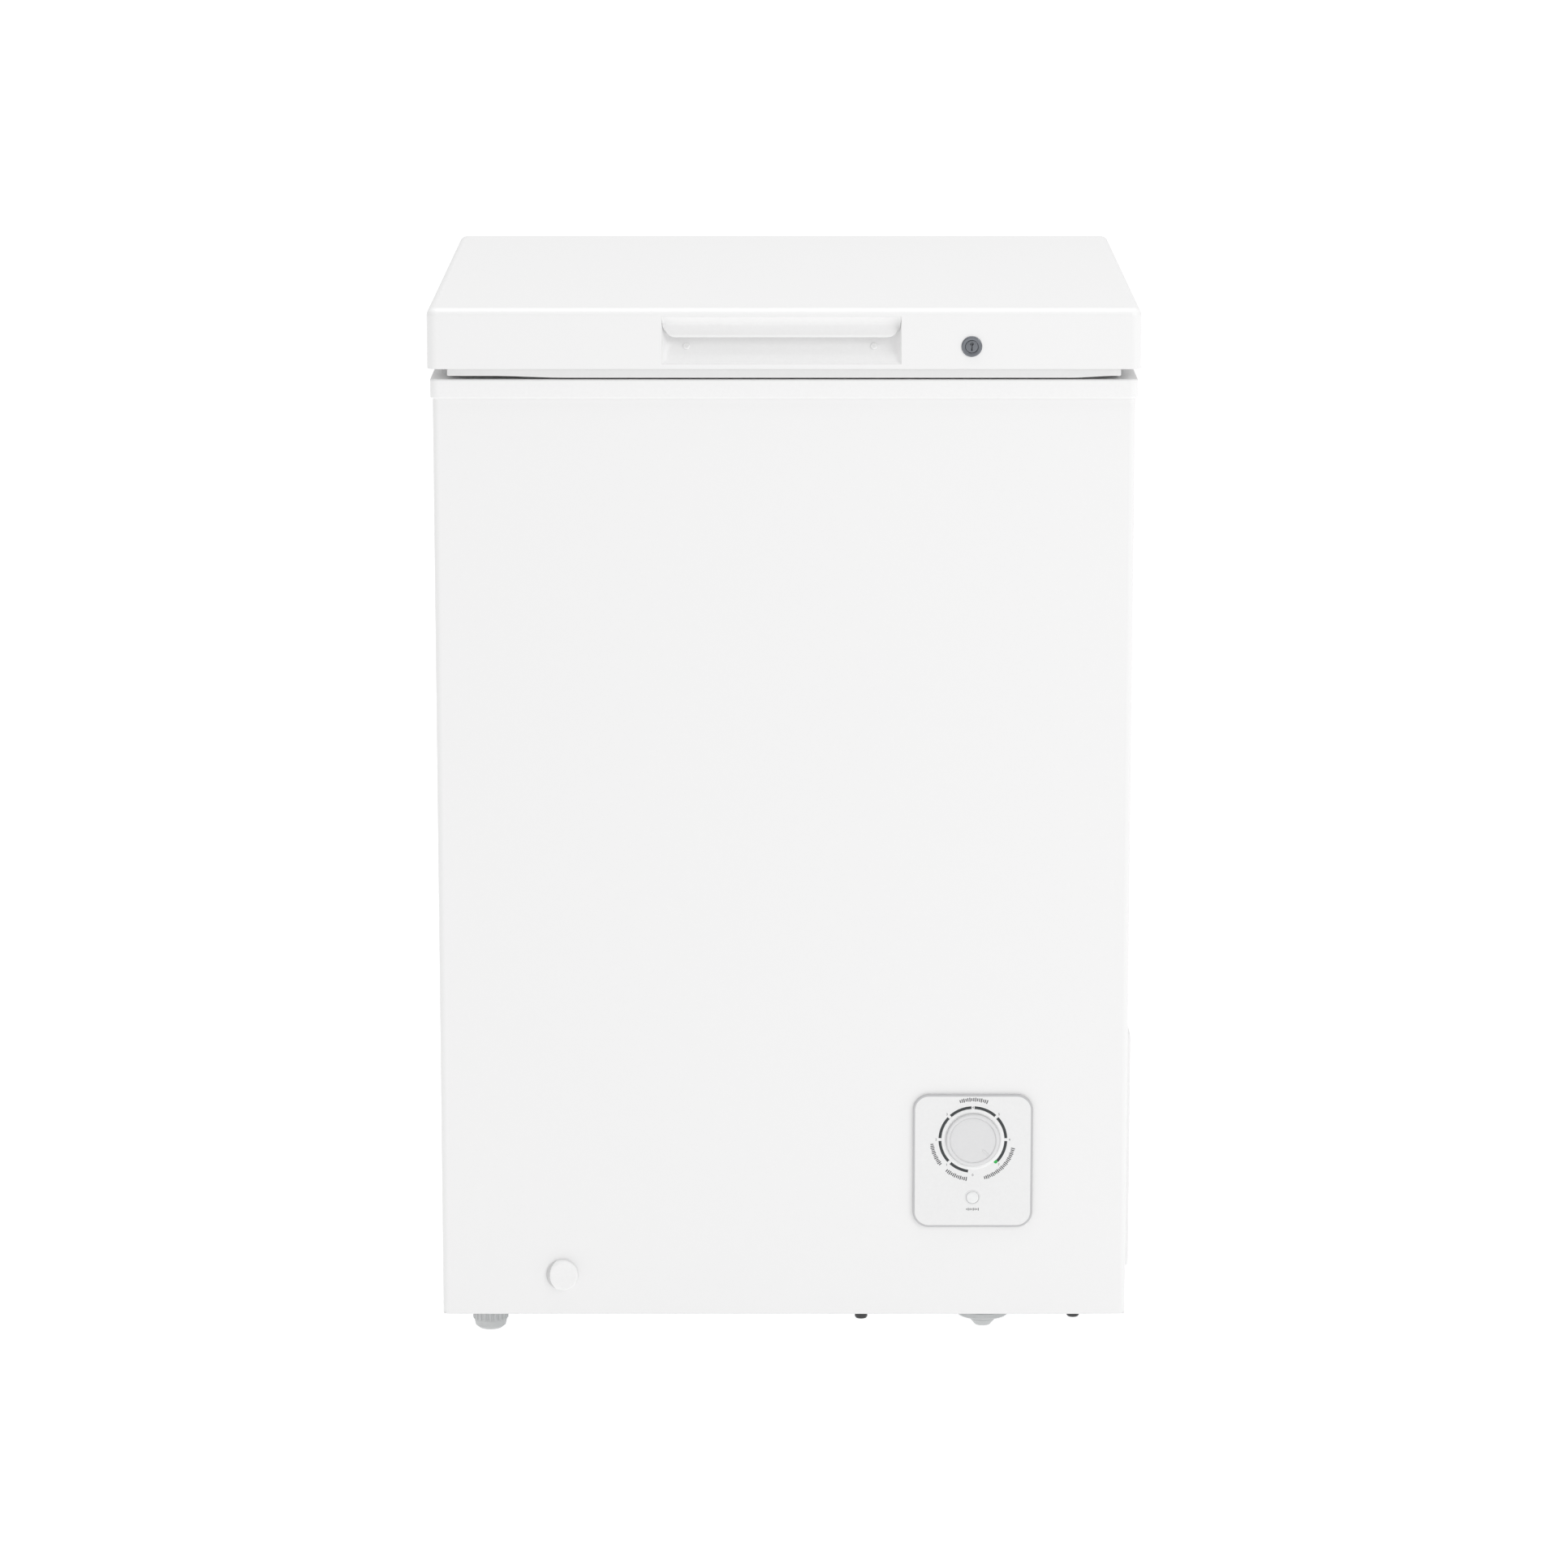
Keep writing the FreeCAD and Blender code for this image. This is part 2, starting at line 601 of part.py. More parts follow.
def top_trim():
    """Plastic rim over the sheet edges and the tub's top, with a slot for the lock cam."""
    x, near = cab_half + rim_overhang, cab_front - rim_overhang
    low = rim_top - rim_height
    plate = soften(
        box((-x, near, low), (x, cab_back, rim_top)), fold_radius + rim_overhang, corners_of(near, near)
    )
    top_edge = soften(plate, rim_plate / 2, lambda e: level(e, "z", rim_top))
    edge = soften(top_edge, rim_overhang - 0.6, lambda e: level(e, "z", low) and not level(e, "y", cab_back))
    under = soften(
        box((-cab_half, cab_front, low - 1), (cab_half, cab_back + 1, sheet_top)), fold_radius,
        corners_of(cab_front, cab_front),
    )
    mouth = soften(
        box(
            (-tub_half + liner_gauge, tub_front - ledge + liner_gauge, low - 2),
            (tub_half - liner_gauge, tub_back + ledge - liner_gauge, rim_top + 1),
        ),
        tub_corner - liner_gauge,
        lambda e: along(e, "z"),
    )
    slot = box(
        (lock_across - 7, cam_front - 1, sheet_top - 1),
        (lock_across + cam_reach - 9.5, cam_front + 3.4, rim_top + 1),
    )
    return cut(edge, under, mouth, slot)


def lock_keeper():
    """Moulded pocket under the rim slot that the lock cam turns into."""
    (x0, y0, z0), (x1, y1, z1) = keeper_low, keeper_high
    skin = 1
    hollow = box((x0 + skin, y0 + skin, z0 + skin), (x1 - skin, y1 - skin, z1 + skin))
    return cut(box(keeper_low, keeper_high), hollow)


# ---------------------------------------------------------------- refrigeration set
def evaporator_path():
    """Turns round the tub, from the top down: wide turns first, then two round the well."""
    off = coil_off
    left, right = point(-tub_half - off, 0, 0).x, point(tub_half + off, 0, 0).x
    inner = point(step_left + off, 0, 0).x
    near, far = point(tub_front - off, 0, 0).x, point(tub_back + off, 0, 0).x
    pitch = coil_pitch.value
    height = coil_top.value
    points = [V(left + 60, far, height)]
    for turn in range(coil_turns):
        wide = right if turn < coil_turns - low_turns else inner
        start = height - turn * pitch
        points.append(V(wide, far, start - pitch * 0.2))
        points.append(V(wide, near, start - pitch * 0.45))
        points.append(V(left, near, start - pitch * 0.7))
        points.append(V(left, far, start - pitch * 0.95))
    points.append(V(inner - 90, far, height - coil_turns * pitch))
    return points


def condenser_path():
    """Level runs inside the left sheet, joined by bends at the front and back."""
    across = -(cab_half - sheet_gauge - coil_tube - 0.4).value
    near, far = (cab_front + 46).value, (cab_back - 46).value
    points = [V(across, far, condenser_low.value)]
    for run in range(condenser_runs):
        height = condenser_low.value + run * condenser_pitch.value
        end = near if run % 2 == 0 else far
        points.append(V(across, end, height))
        points.append(V(across, end, height + condenser_pitch.value))
    return points[:-1]


def compressor_shell():
    """Welded two-part steel can, domed at both ends, with a seam flange."""
    r, tall = compressor_radius, compressor_height
    outline = [
        (0, 0), (r * 0.7, 0), (r * 0.9, 7), (r, 20), (r, tall * 0.5 - 2.5), (r + 3, tall * 0.5 - 2.5),
        (r + 3, tall * 0.5 + 2.5), (r, tall * 0.5 + 2.5), (r, tall - 34), (r * 0.93, tall - 17),
        (r * 0.74, tall - 6), (r * 0.4, tall - 1), (0, tall),
    ]
    return turned(outline, (compressor_x, compressor_y, compressor_low))


def compressor_feet():
    """Pressed legs across the can's underside, one along each pair of mountings."""
    low = grommet_top
    legs = []
    for y in compressor_bolts_y:
        plate = box(
            (compressor_bolts_x[0] - 12, y - 12, low), (compressor_bolts_x[1] + 12, y + 12, low + leg_gauge)
        )
        holes = [rod(grommet_neck, 5, (x, y, low - 1)) for x in compressor_bolts_x]
        near_can = 1 if y.value < compressor_y.value else -1
        ends = sorted((y, y + 44 * near_can), key=lambda d: d.value)
        saddle = box((compressor_x - 26, ends[0], low), (compressor_x + 26, ends[1], low + leg_gauge))
        legs.append(cut(fuse(plate, saddle), *holes))
    return group(*legs)


def each_mounting(make):
    return group(*[make(x, y) for x in compressor_bolts_x for y in compressor_bolts_y])


def compressor_grommets():
    """Rubber bushes through the base plate that carry the compressor legs."""
    low = cabinet_bottom + sheet_gauge + base_plate
    tall = grommet_tall
    ring = [
        (bolt_radius + 0.2, -2.4), (grommet_neck + 3, -2.4), (grommet_neck + 3, -base_plate),
        (grommet_neck - 0.1, -base_plate), (grommet_neck - 0.1, 0), (grommet_neck + 4, 0),
        (grommet_neck + 4, tall), (bolt_radius + 0.2, tall),
    ]
    return each_mounting(lambda x, y: turned(ring, (x, y, low)))


def compressor_bolts():
    """Flanged bolts through the grommets."""
    low = cabinet_bottom + sheet_gauge - 0.6
    tall = grommet_top + 3 - low
    shape = [
        (0, 0), (bolt_radius, 0), (bolt_radius, tall), (9, tall), (9, tall + 1.6), (5.5, tall + 1.6),
        (5.5, tall + 6), (0, tall + 6),
    ]
    return each_mounting(lambda x, y: turned(shape, (x, y, low)))


def compressor_terminal_cover():
    """Snap-on cover over the relay and overload, on the can's front."""
    near = compressor_y - compressor_radius - 24
    cover = box(
        (compressor_x - 30, near, compressor_low + 42),
        (compressor_x + 30, compressor_y - 20, compressor_low + 98),
    )
    rounded = soften(cover, 5, lambda e: level(e, "y", near) or along(e, "y"))
    return cut(rounded, rod(compressor_radius + 3.2, 200, (compressor_x, compressor_y, compressor_low)))


def filter_drier():
    """Copper capsule that stands beside the compressor."""
    neck, r, tall = 3, 9, drier_tall
    outline = [
        (0, 0), (neck, 0), (neck, 8), (r, 18), (r, tall - 18), (neck, tall - 8), (neck, tall), (0, tall),
    ]
    return turned(outline, (drier_x, drier_y, drier_low))


def suction_pipe():
    """Copper tube from the bulkhead roof down to the can's side."""
    x, y = compressor_x.value, compressor_y.value
    reach = compressor_radius.value
    high, low = machine_top.value - 0.8, (compressor_low + 66).value
    return [
        V(x - 60, y + 84, high), V(x - 60, y + 84, low), V(x - 30, y + 84, low - 8),
        V(x - 8, y + reach - 1, low - 8),
    ]


def discharge_pipe():
    """Copper tube from the can to the drier."""
    x, y, low = compressor_x.value, compressor_y.value, (compressor_low + 64).value
    top = (drier_low + drier_tall).value
    side = x - compressor_radius.value
    return [
        V(side + 1, y - 8, low), V(side - 16, y - 8, low), V(side - 16, y - 8, top + 26),
        V(drier_x.value, drier_y.value, top + 26), V(drier_x.value, drier_y.value, top),
    ]


# ---------------------------------------------------------------- controls and openings of the cabinet
def control_panel():
    """Rounded bezel clipped over the opening in the front sheet."""
    wide, tall = panel_wide / 2, panel_tall / 2
    low = (panel_across - wide, cab_front - panel_thick, panel_height - tall)
    high = (panel_across + wide, cab_front, panel_height + tall)
    plate = soften(box(low, high), panel_corner, lambda e: along(e, "y"))
    face = soften(plate, panel_thick / 2.5, lambda e: level(e, "y", cab_front - panel_thick))
    inside, skin = 8.4, 1.6
    tray = box(
        (panel_across - wide + inside, cab_front, panel_height - tall + inside),
        (panel_across + wide - inside, cab_front + 9, panel_height + tall - inside),
    )
    hollow = box(
        (panel_across - wide + inside + skin, cab_front, panel_height - tall + inside + skin),
        (panel_across + wide - inside - skin, cab_front + 10, panel_height + tall - inside - skin),
    )
    shaft_way = rod(shaft_radius + 1.2, 30, (panel_across, cab_front - 15, knob_height), "y")
    lamp_way = rod(lamp_radius, 30, (panel_across, cab_front - 15, lamp_height), "y")
    return cut(fuse(face, cut(tray, hollow)), shaft_way, lamp_way)


def thermostat_body():
    """Box of the control behind the panel, with its threaded bush and the shaft's bearing."""
    near = cab_front + 1
    case = box(
        (panel_across - 17, near + 10, knob_height - 23), (panel_across + 17, near + 38, knob_height + 23)
    )
    bush = rod(shaft_radius + 2, 10, (panel_across, near, knob_height), "y")
    blades = []
    for x in (panel_across - 8, panel_across + 8):
        blades.append(box((x - 3, near + 38, knob_height - 14), (x + 3, near + 47, knob_height - 13)))
    bore = rod(shaft_radius + shaft_fit, 16, (panel_across, near - 1, knob_height), "y")
    return cut(fuse(soften(case, 2, lambda e: along(e, "y")), bush, *blades), bore)


def lamp_lens():
    """Domed lens of the running lamp."""
    r, proud = lamp_radius, 1.4
    crown = panel_thick + proud
    dome = [(0, -9), (r, -9), (r, panel_thick), (r * 0.8, panel_thick + proud * 0.7), (0, crown)]
    lens = turned(dome, (panel_across, cab_front, lamp_height))
    lens.Placement = FreeCAD.Placement(lens.Placement.Base, FreeCAD.Rotation(V(1, 0, 0), 90))
    return lens


def lamp_holder():
    """Socket behind the lens with its two blades."""
    near = cab_front + 9
    body = rod(lamp_radius + 1.5, 16, (panel_across, near, lamp_height), "y")
    blades = []
    for x in (panel_across - 3.4, panel_across + 3.4):
        blades.append(box((x - 2, near + 16, lamp_height - 0.4), (x + 2, near + 22, lamp_height + 0.4)))
    return fuse(body, *blades)


def wiring_harness():
    """Sheathed wires from the control and lamp back to the compressor's relay."""
    x, y, z = panel_across.value, cab_front.value, knob_height.value
    relay = (compressor_y - compressor_radius - 24).value
    drop = machine_top.value - 18
    return [
        V(x + 8, y + 48, z - 13.5), V(x + 8, y + 66, z - 13.5), V(x + 8, y + 66, drop),
        V(x + 8, y + 150, drop), V(x + 30, y + 190, drop), V(x + 30, relay - 14, drop),
        V(x + 30, relay - 14, drop - 100), V(x + 30, relay, drop - 100),
    ]


def side_vent_cover():
    """Louvred plastic grille over the air opening in the right side."""
    x = cab_half
    plate = box((x, vent_front, vent_low), (x + vent_proud, vent_back, vent_high))
    edges = lambda e: level(e, "x", x + vent_proud) or along(e, "x")
    face = soften(plate, vent_proud / 2, edges)
    slots = []
    for i in range(16):
        low = vent_low + 18 + 10 * i
        slots.append(box((x - 1, vent_front + 16, low), (x + vent_proud + 1, vent_back - 16, low + 5)))
    middle = (vent_front + vent_back) / 2
    mid = box((x, middle - 3, vent_low + 4), (x + 1.6, middle + 3, vent_high - 4))
    holes = [rod(screw_radius, 20, (x - 8, y, z), "x") for y, z in vent_corners()]
    wells = [rod(screw_head + 0.1, 4, (x + vent_proud - screw_sunk, y, z), "x") for y, z in vent_corners()]
    return cut(fuse(cut(face, *slots), mid), *holes, *wells)


def vent_corners():
    return [(y, z) for y in (vent_front + 8, vent_back - 8) for z in (vent_low + 9, vent_high - 9)]


def screw(at, axis, head=screw_head, tall=2.2):
    """A pan-head screw whose head's underside is at the point, shank along the axis."""
    length = 7
    shape = [
        (0, -tall), (head * 0.7, -tall), (head, -tall * 0.5), (head, 0), (screw_radius, 0),
        (screw_radius, length), (0, length),
    ]
    return turned(shape, at, axis)


def vent_screws():
    """Screws driven inwards through the side vent cover."""
    sunk = cab_half + vent_proud - screw_sunk
    screws = [screw((sunk, y, z), "x") for y, z in vent_corners()]
    for made in screws:
        made.Placement = FreeCAD.Placement(made.Placement.Base, FreeCAD.Rotation(V(0, 1, 0), -90))
    return screws


def rear_machine_cover():
    """Louvred steel cover over the machine compartment's back."""
    left, right = machine_left + 2, cab_half - 3
    low, high = cabinet_bottom + 2, machine_top + 2
    plate = box((left, cab_back, low), (right, cab_back + 1, high))
    slots, hoods = [], []
    for x, z in cover_slots(left, low):
        slots.append(box((x, cab_back - 1, z), (x + 68, cab_back + 2, z + 6)))
        hoods.append(box((x, cab_back, z + 6), (x + 68, cab_back + 3.4, z + 7)))
    gland = rod(gland_radius, 8, (left + 22, cab_back - 4, low + 12), "y")
    holes = [rod(screw_radius, 8, (x, cab_back - 4, z), "y") for x, z in rear_cover_corners()]
    return cut(fuse(cut(plate, *slots), *hoods), gland, *holes)


def cover_slots(left, low):
    return [(left + 14 + column * 78, low + 24 + row * 15) for column in (0, 1) for row in range(11)]


def rear_cover_corners():
    xs = (machine_left + 7, cab_half - 8)
    zs = (cabinet_bottom + 34, machine_top - 3)
    return [(x, z) for x in xs for z in zs]


def back_screws(depth, places):
    """Screws driven forward into the back, heads at a depth."""
    screws = [screw((x, depth, z), "y") for x, z in places]
    for made in screws:
        made.Placement = FreeCAD.Placement(made.Placement.Base, FreeCAD.Rotation(V(1, 0, 0), 90))
    return screws


def cord_gland():
    """Stepped bush in the rear cover where the mains lead goes in."""
    r = gland_radius
    shape = [(3.6, -7), (r + 2, -7), (r + 2, 0), (r, 0), (r, 1), (r + 2.4, 1), (r + 2.4, 4), (r, 7), (3.6, 7)]
    return turned(shape, (machine_left + 24, cab_back, cabinet_bottom + 14), "y")


hose_radius, hose_bore, hose_bend = 11, 8.6, 14


def drain_route():
    """From the sump straight down, then forward to the socket."""
    x, low, high = -drain_across.value, drain_height.value, (tub_floor - 7.5).value
    return [V(x, drain_y.value, high), V(x, drain_y.value, low), V(x, (cab_front + 12).value, low)]


def drain_tube():
    """Hose from the tub's drain down and forward to the front socket."""
    hose = tube_shape(drain_route(), hose_radius, hose_bend)
    return hose.cut(tube_shape(drain_route(), hose_bore, hose_bend))


def drain_outlet():
    """Socket in the front sheet that the cap pushes into."""
    shape = [(cap_bore, -1.6), (13, -1.6), (13, 0), (10.9, 0), (10.9, 12), (cap_bore, 12)]
    return turned(shape, (-drain_across, cab_front, drain_height), "y")


def drain_cap():
    """Push-in cap with a finger dish."""
    r = cap_bore - 0.3
    shape = [
        (0, -2.6), (8.6, -2.6), (10, -4), (12, -4), (12.8, -3.2), (12.8, -1.8), (r, -1.8), (r, 9), (r - 2, 9),
        (r - 2, 0), (0, 0),
    ]
    return turned(shape, (-drain_across, cab_front, drain_height), "y")


def drain_plug():
    """Plug that lifts out of the tub's floor."""
    r = drain_bore - 0.4
    shape = [(0, -5), (r, -5), (r, 0.4), (r + 5, 0.4), (r + 5, 2.4), (4, 3.4), (3, 12), (0, 12)]
    return turned(shape, (-drain_across, drain_y, tub_floor + liner_gauge))


# ---------------------------------------------------------------- feet
def ribbed_foot(x, y):
    """Moulded levelling foot with upright grip ribs."""
    top = cabinet_bottom - 3.4
    core, rib, count = foot_radius - 1.2, 1.3, 20
    outline = [
        (0, 0), (core * 0.72, 0), (core * 0.93, 2.4), (core, 7), (core, top - 0.6), (core - 0.6, top),
        (0, top),
    ]
    body = turned(outline, (x, y, 0))
    ribs = []
    for i in range(count):
        angle = math.radians(360 * i / count)
        reach = (foot_radius - rib).value
        ribs.append(rod(rib, top - 9, (x + math.cos(angle) * reach, y + math.sin(angle) * reach, 8)))
    return fuse(body, foot_stud_rod(x, y, top - 4), *ribs)


def flanged_foot(x, y):
    """Levelling foot with a wide finger wheel part way up."""
    top = cabinet_bottom - 0.8
    foot, wheel, low = foot_radius - 4, foot_radius + 6.4, dim(9)
    outline = [
        (0, 0), (foot * 0.6, 0), (foot, 5), (foot, low), (wheel - 1, low), (wheel, low + 1),
        (wheel, low + 4.4), (wheel - 1, low + 5.4), (foot + 1, low + 5.4), (foot + 1, top), (0, top),
    ]
    return fuse(turned(outline, (x, y, 0)), foot_stud_rod(x, y, top - 4))


def foot_stud_rod(x, y, low):
    """Stud moulded into a levelling foot."""
    return rod(foot_stud, stud_top - low, (x, y, low))


def rear_feet():
    """Two moulded skids under the back corners."""
    r, top = foot_radius, cabinet_bottom
    outline = [(0, 0), (r * 0.72, 0), (r, 6), (r, top - 2), (r - 2, top), (0, top)]
    return group(*[turned(outline, (x, rear_foot_y, 0)) for x in (-foot_across, foot_across)])


def foot_nuts():
    """Weld nuts on the flange that the front studs screw into."""
    low = cabinet_bottom + sheet_gauge
    nuts = []
    for x, y, z in ((-foot_across, foot_y, pan_top), (foot_right, foot_right_y, low + base_plate)):
        block = box((x - 8, y - 8, z), (x + 8, y + 8, z + 8))
        nuts.append(cut(block, rod(foot_stud + stud_fit, 12, (x, y, z - 2))))
    return group(*nuts)


def base_bolts():
    """Black flanged bolts that hold the base plate to the flange."""
    bolts = []
    for x, head in ((base_bolt_left, 6.4), (base_bolt_right, 5)):
        shape = [
            (0, -head), (4.4, -head), (5.2, 1.2 - head), (5.2, -1), (7.6, -1), (7.6, 0), (bolt_shank, 0),
            (bolt_shank, 4.6), (0, 4.6),
        ]
        bolts.append(turned(shape, (x, bolt_y, cabinet_bottom)))
    return group(*bolts)


# ---------------------------------------------------------------- knob
def thermostat_knob():
    """Dished disc with a raised rim and a pointer notch."""
    r, proud = knob_radius, cab_front - front
    face = proud - 0.6
    disc = turned(
        [(0, -face), (r - 2.6, -face), (r - 1.8, -proud), (r - 0.8, -proud), (r, -proud + 0.8),
         (r, -panel_thick - 0.3), (0, -panel_thick - 0.3)],
        (panel_across, cab_front, knob_height), "y",
    )
    reach = (r - 7) * 0.707
    notch = rod(1.6, 4, (panel_across + reach, front - 2.8, knob_height - reach), "y")
    return cut(disc, notch)


def thermostat_shaft():
    """Steel spindle from the knob into the control."""
    return rod(shaft_radius, 16.5, (panel_across, cab_front - panel_thick - 0.3, knob_height), "y")


# ---------------------------------------------------------------- lid
def lid_block(spread, low, high, corner):
    """A block with the lid's rounded plan, drawn in by spread."""
    x, near, far = lid_half - spread, lid_front + spread, lid_back - spread
    return soften(box((-x, near, low), (x, far, high)), corner - spread, lambda e: along(e, "z"))


def lid_shell():
    """Pressed steel lid skin with its rolled-in bottom lip, handle opening and lock hole."""
    top_round = 6
    skin = soften(
        lid_block(0, lid_bottom, overall_height, lid_corner), top_round,
        lambda e: level(e, "z", overall_height),
    )
    inside_top = overall_height - lid_gauge
    hollow = soften(
        lid_block(lid_gauge, lid_bottom + lid_gauge, inside_top, lid_corner), top_round - lid_gauge,
        lambda e: level(e, "z", inside_top),
    )
    lip = gasket_inset - 1
    mouth = box(
        (-lid_half + lip, lid_front + lip, lid_bottom - 1), (lid_half - lip, lid_back - lip, lid_bottom + 2)
    )
    half = handle_width / 2
    handle_hole = box(
        (handle_across - half, lid_front - 1, handle_low), (handle_across + half, lid_front + 2, handle_high)
    )
    lock_hole = rod(barrel_radius, 4, (lock_across, lid_front - 1, lock_height), "y")
    cam_slot = box(
        (lock_across - 7, cam_front - 1, lid_bottom - 1),
        (lock_across + cam_reach - 2.5, cam_front + 3.4, lid_bottom + 2),
    )
    return cut(skin, hollow, mouth, handle_hole, lock_hole, cam_slot, *lid_screw_holes())


def lid_screw_holes():
    return [rod(screw_radius, 20, (x, lid_back - 12, z), "y") for x, z in lid_leaf_screws()]


def plug_block(thick, top):
    """The lining's plug, or the room inside it when drawn in by the lining's thickness."""
    (x0, y0, z0), (x1, y1, _) = plug_low, plug_high
    block = box((x0 + thick, y0 + thick, z0 + thick), (x1 - thick, y1 - thick, top))
    upright = soften(block, plug_corner - thick, lambda e: along(e, "z"))
    return soften(upright, plug_round - thick, lambda e: level(e, "z", z0 + thick))


def lid_liner():
    """Moulded inner panel with a shallow plug that drops into the tub's mouth."""
    edge, thick = gasket_inset - 4, lining
    low = lid_bottom + lid_gauge
    flange = box((-lid_half + edge, lid_front + edge, low), (lid_half - edge, lid_back - edge, low + thick))
    return cut(fuse(flange, plug_block(dim(0), plug_high[2])), plug_block(thick, plug_high[2] + 1))


def lid_foam():
    """Foamed insulation filling the lid and its plug."""
    thick = lining
    low = lid_bottom + lid_gauge + thick
    slab = soften(
        lid_block(lid_gauge, low, overall_height - lid_gauge, lid_corner), 5,
        lambda e: level(e, "z", overall_height - lid_gauge),
    )
    return cut(
        fuse(slab, plug_block(thick, low + 1)), handle_envelope(), box(housing_low, housing_high),
        *handle_screw_bores(), *lid_screw_holes(),
    )


def lid_gasket():
    """Magnetic bellows seal round the lid's underside."""
    low, high = rim_top + gasket_gap, lid_bottom + lid_gauge

    def ring(inset, z0, z1, corner):
        x, near, far = lid_half - inset, lid_front + inset, lid_back - inset
        return soften(box((-x, near, z0), (x, far, z1)), corner, lambda e: along(e, "z"))

    outer = ring(gasket_inset, low, high, 7)
    inner = ring(gasket_inset + gasket_wide, low - 1, high + 1, 3)
    groove_out = ring(gasket_inset - 2, low + 3.4, low + 5.6, 8)
    groove_in = ring(gasket_inset + 3, low + 3.3, low + 5.7, 5)
    fold = cut(groove_out, groove_in)
    return cut(outer, inner, fold)


def lid_front_lip():
    """Soft strip under the lid's front edge that hides the seal. It hangs lowest between its ends."""
    near, across = lid_front + 2, lid_half - gasket_inset
    low, lift = rim_top + lip_gap, 1.8
    outline = [
        (-across, low + lift), (-across + 47, low + lift), (-across + 89, low), (across - 33, low),
        (across - 11, low + lift), (across, low + lift), (across, lid_bottom), (-across, lid_bottom),
    ]
    return pad(new_body(), "XZ", near, near + 2.4, outline)


# ---------------------------------------------------------------- lid handle and lock
# the pocket's wall, from its bottom edge to its back
SLOPE_RUN, SLOPE_RISE = handle_depth.value - 2.2, 20.1


def handle_back():
    """The moulding's hidden line from its bottom flange up to its top one."""
    low, high, deep = handle_low, handle_high, handle_depth
    behind = lid_gauge + 1.4
    rising = [
        (behind, low - 2.2), (behind + 1.4, low + 0.2), (deep + 1.9, high - 16.8), (deep + 1.9, high - 13.6),
    ]
    return rising, [(deep - 2.9, high - 10.9), (dim(10.4), high - 6.1), (behind, high + 0.5)]


def handle_section():
    """Section of the moulding: (distance behind the lid's front, height)."""
    low, high, deep = handle_low, handle_high, handle_depth
    skin = dim(0.2)
    band = [(lid_gauge, high + 0.5), (lid_gauge, high), (skin, high), (dim(8), high - 6.5)]
    lip = [(dim(3), high - 15), (dim(3), high - 16.3), (deep - 3.5, high - 13), (deep, high - 15)]
    slope = [(deep, low + 21.1), (dim(2.2), low + 1), (skin, low), (lid_gauge, low), (lid_gauge, low - 2.2)]
    rising, falling = handle_back()
    behind_lip = [falling[0], (dim(6.6), high - 13)]
    return [(lid_front + y, z) for y, z in band + lip + slope + rising + behind_lip + falling[1:]]


def handle_outline():
    """The moulding's silhouette seen from the end, for its end walls and for the room it takes."""
    low, high = handle_low, handle_high
    skin = dim(0.2)
    visible = [(lid_gauge, high + 0.5), (lid_gauge, high), (skin, high), (skin, low), (lid_gauge, low)]
    rising, falling = handle_back()
    corners = visible + [(lid_gauge, low - 2.2)] + rising + falling
    return [(lid_front + y, z) for y, z in corners]


def handle_insert():
    """Grey-white moulding with a finger lip above a sloping pocket."""
    half, end = handle_width / 2 - 0.2, 1.6
    left, right = handle_across - half, handle_across + half
    body = pad(new_body(), "YZ", left + end, right - end, handle_section())
    pad(body, "YZ", left, left + end, handle_outline())
    pad(body, "YZ", right - end, right, handle_outline())
    return cut(body, *handle_screw_bores())


def handle_envelope():
    half = handle_width / 2 - 0.2
    return pad(new_body(), "YZ", handle_across - half, handle_across + half, handle_outline())


def handle_screw_places():
    """On the pocket's sloping wall."""
    height = dim(13)
    depth = (height - 1) * (SLOPE_RUN / SLOPE_RISE) + 2.2
    return [(x, lid_front + depth, handle_low + height) for x in (handle_across - 75, handle_across + 73)]


def sloped(thing):
    """Turns an upright thing to point into the sloping wall."""
    into = FreeCAD.Rotation(V(0, 0, 1), V(0, SLOPE_RISE, -SLOPE_RUN))
    thing.Placement = FreeCAD.Placement(thing.Placement.Base, into)
    return thing


def handle_screw_bores():
    return [sloped(rod(screw_radius, 7.8, place)) for place in handle_screw_places()]


def handle_screws():
    """Small pan-head screws into the sloping wall."""
    return [sloped(screw(place, "z", 2.8, 1.4)) for place in handle_screw_places()]


def lock_housing():
    """Cover behind the lock that keeps the foam off the cam."""
    (x0, y0, z0), (x1, y1, z1) = housing_low, housing_high
    room = box((x0 + 1, y0 - 1, z0 - 1), (x1 - 1, y1 - 1, z1 - 1))
    return cut(box(housing_low, housing_high), room)


def lock_barrel():
    """Flanged sleeve through the lid's front."""
    r, bore = barrel_radius, plug_radius + lock_fit
    shape = [
        (bore, -lock_proud + 0.3), (lock_radius - 1.6, -lock_proud + 0.3), (lock_radius - 0.9, -lock_proud),
        (lock_radius, -lock_proud + 0.7), (lock_radius, 0), (r, 0), (r, 7.4), (bore, 7.4),
    ]
    return turned(shape, (lock_across, lid_front, lock_height), "y")


def lock_nut():
    """Hexagon nut that draws the barrel against the lid."""
    r = 11.5
    hexagon = [
        (lock_across + r * math.cos(math.radians(a)), lock_height + r * math.sin(math.radians(a)))
        for a in range(0, 360, 60)
    ]
    near = lid_front + lid_gauge
    return pad(new_body(), "XZ", near, near + 3.4, hexagon, (lock_across, lock_height, barrel_radius))


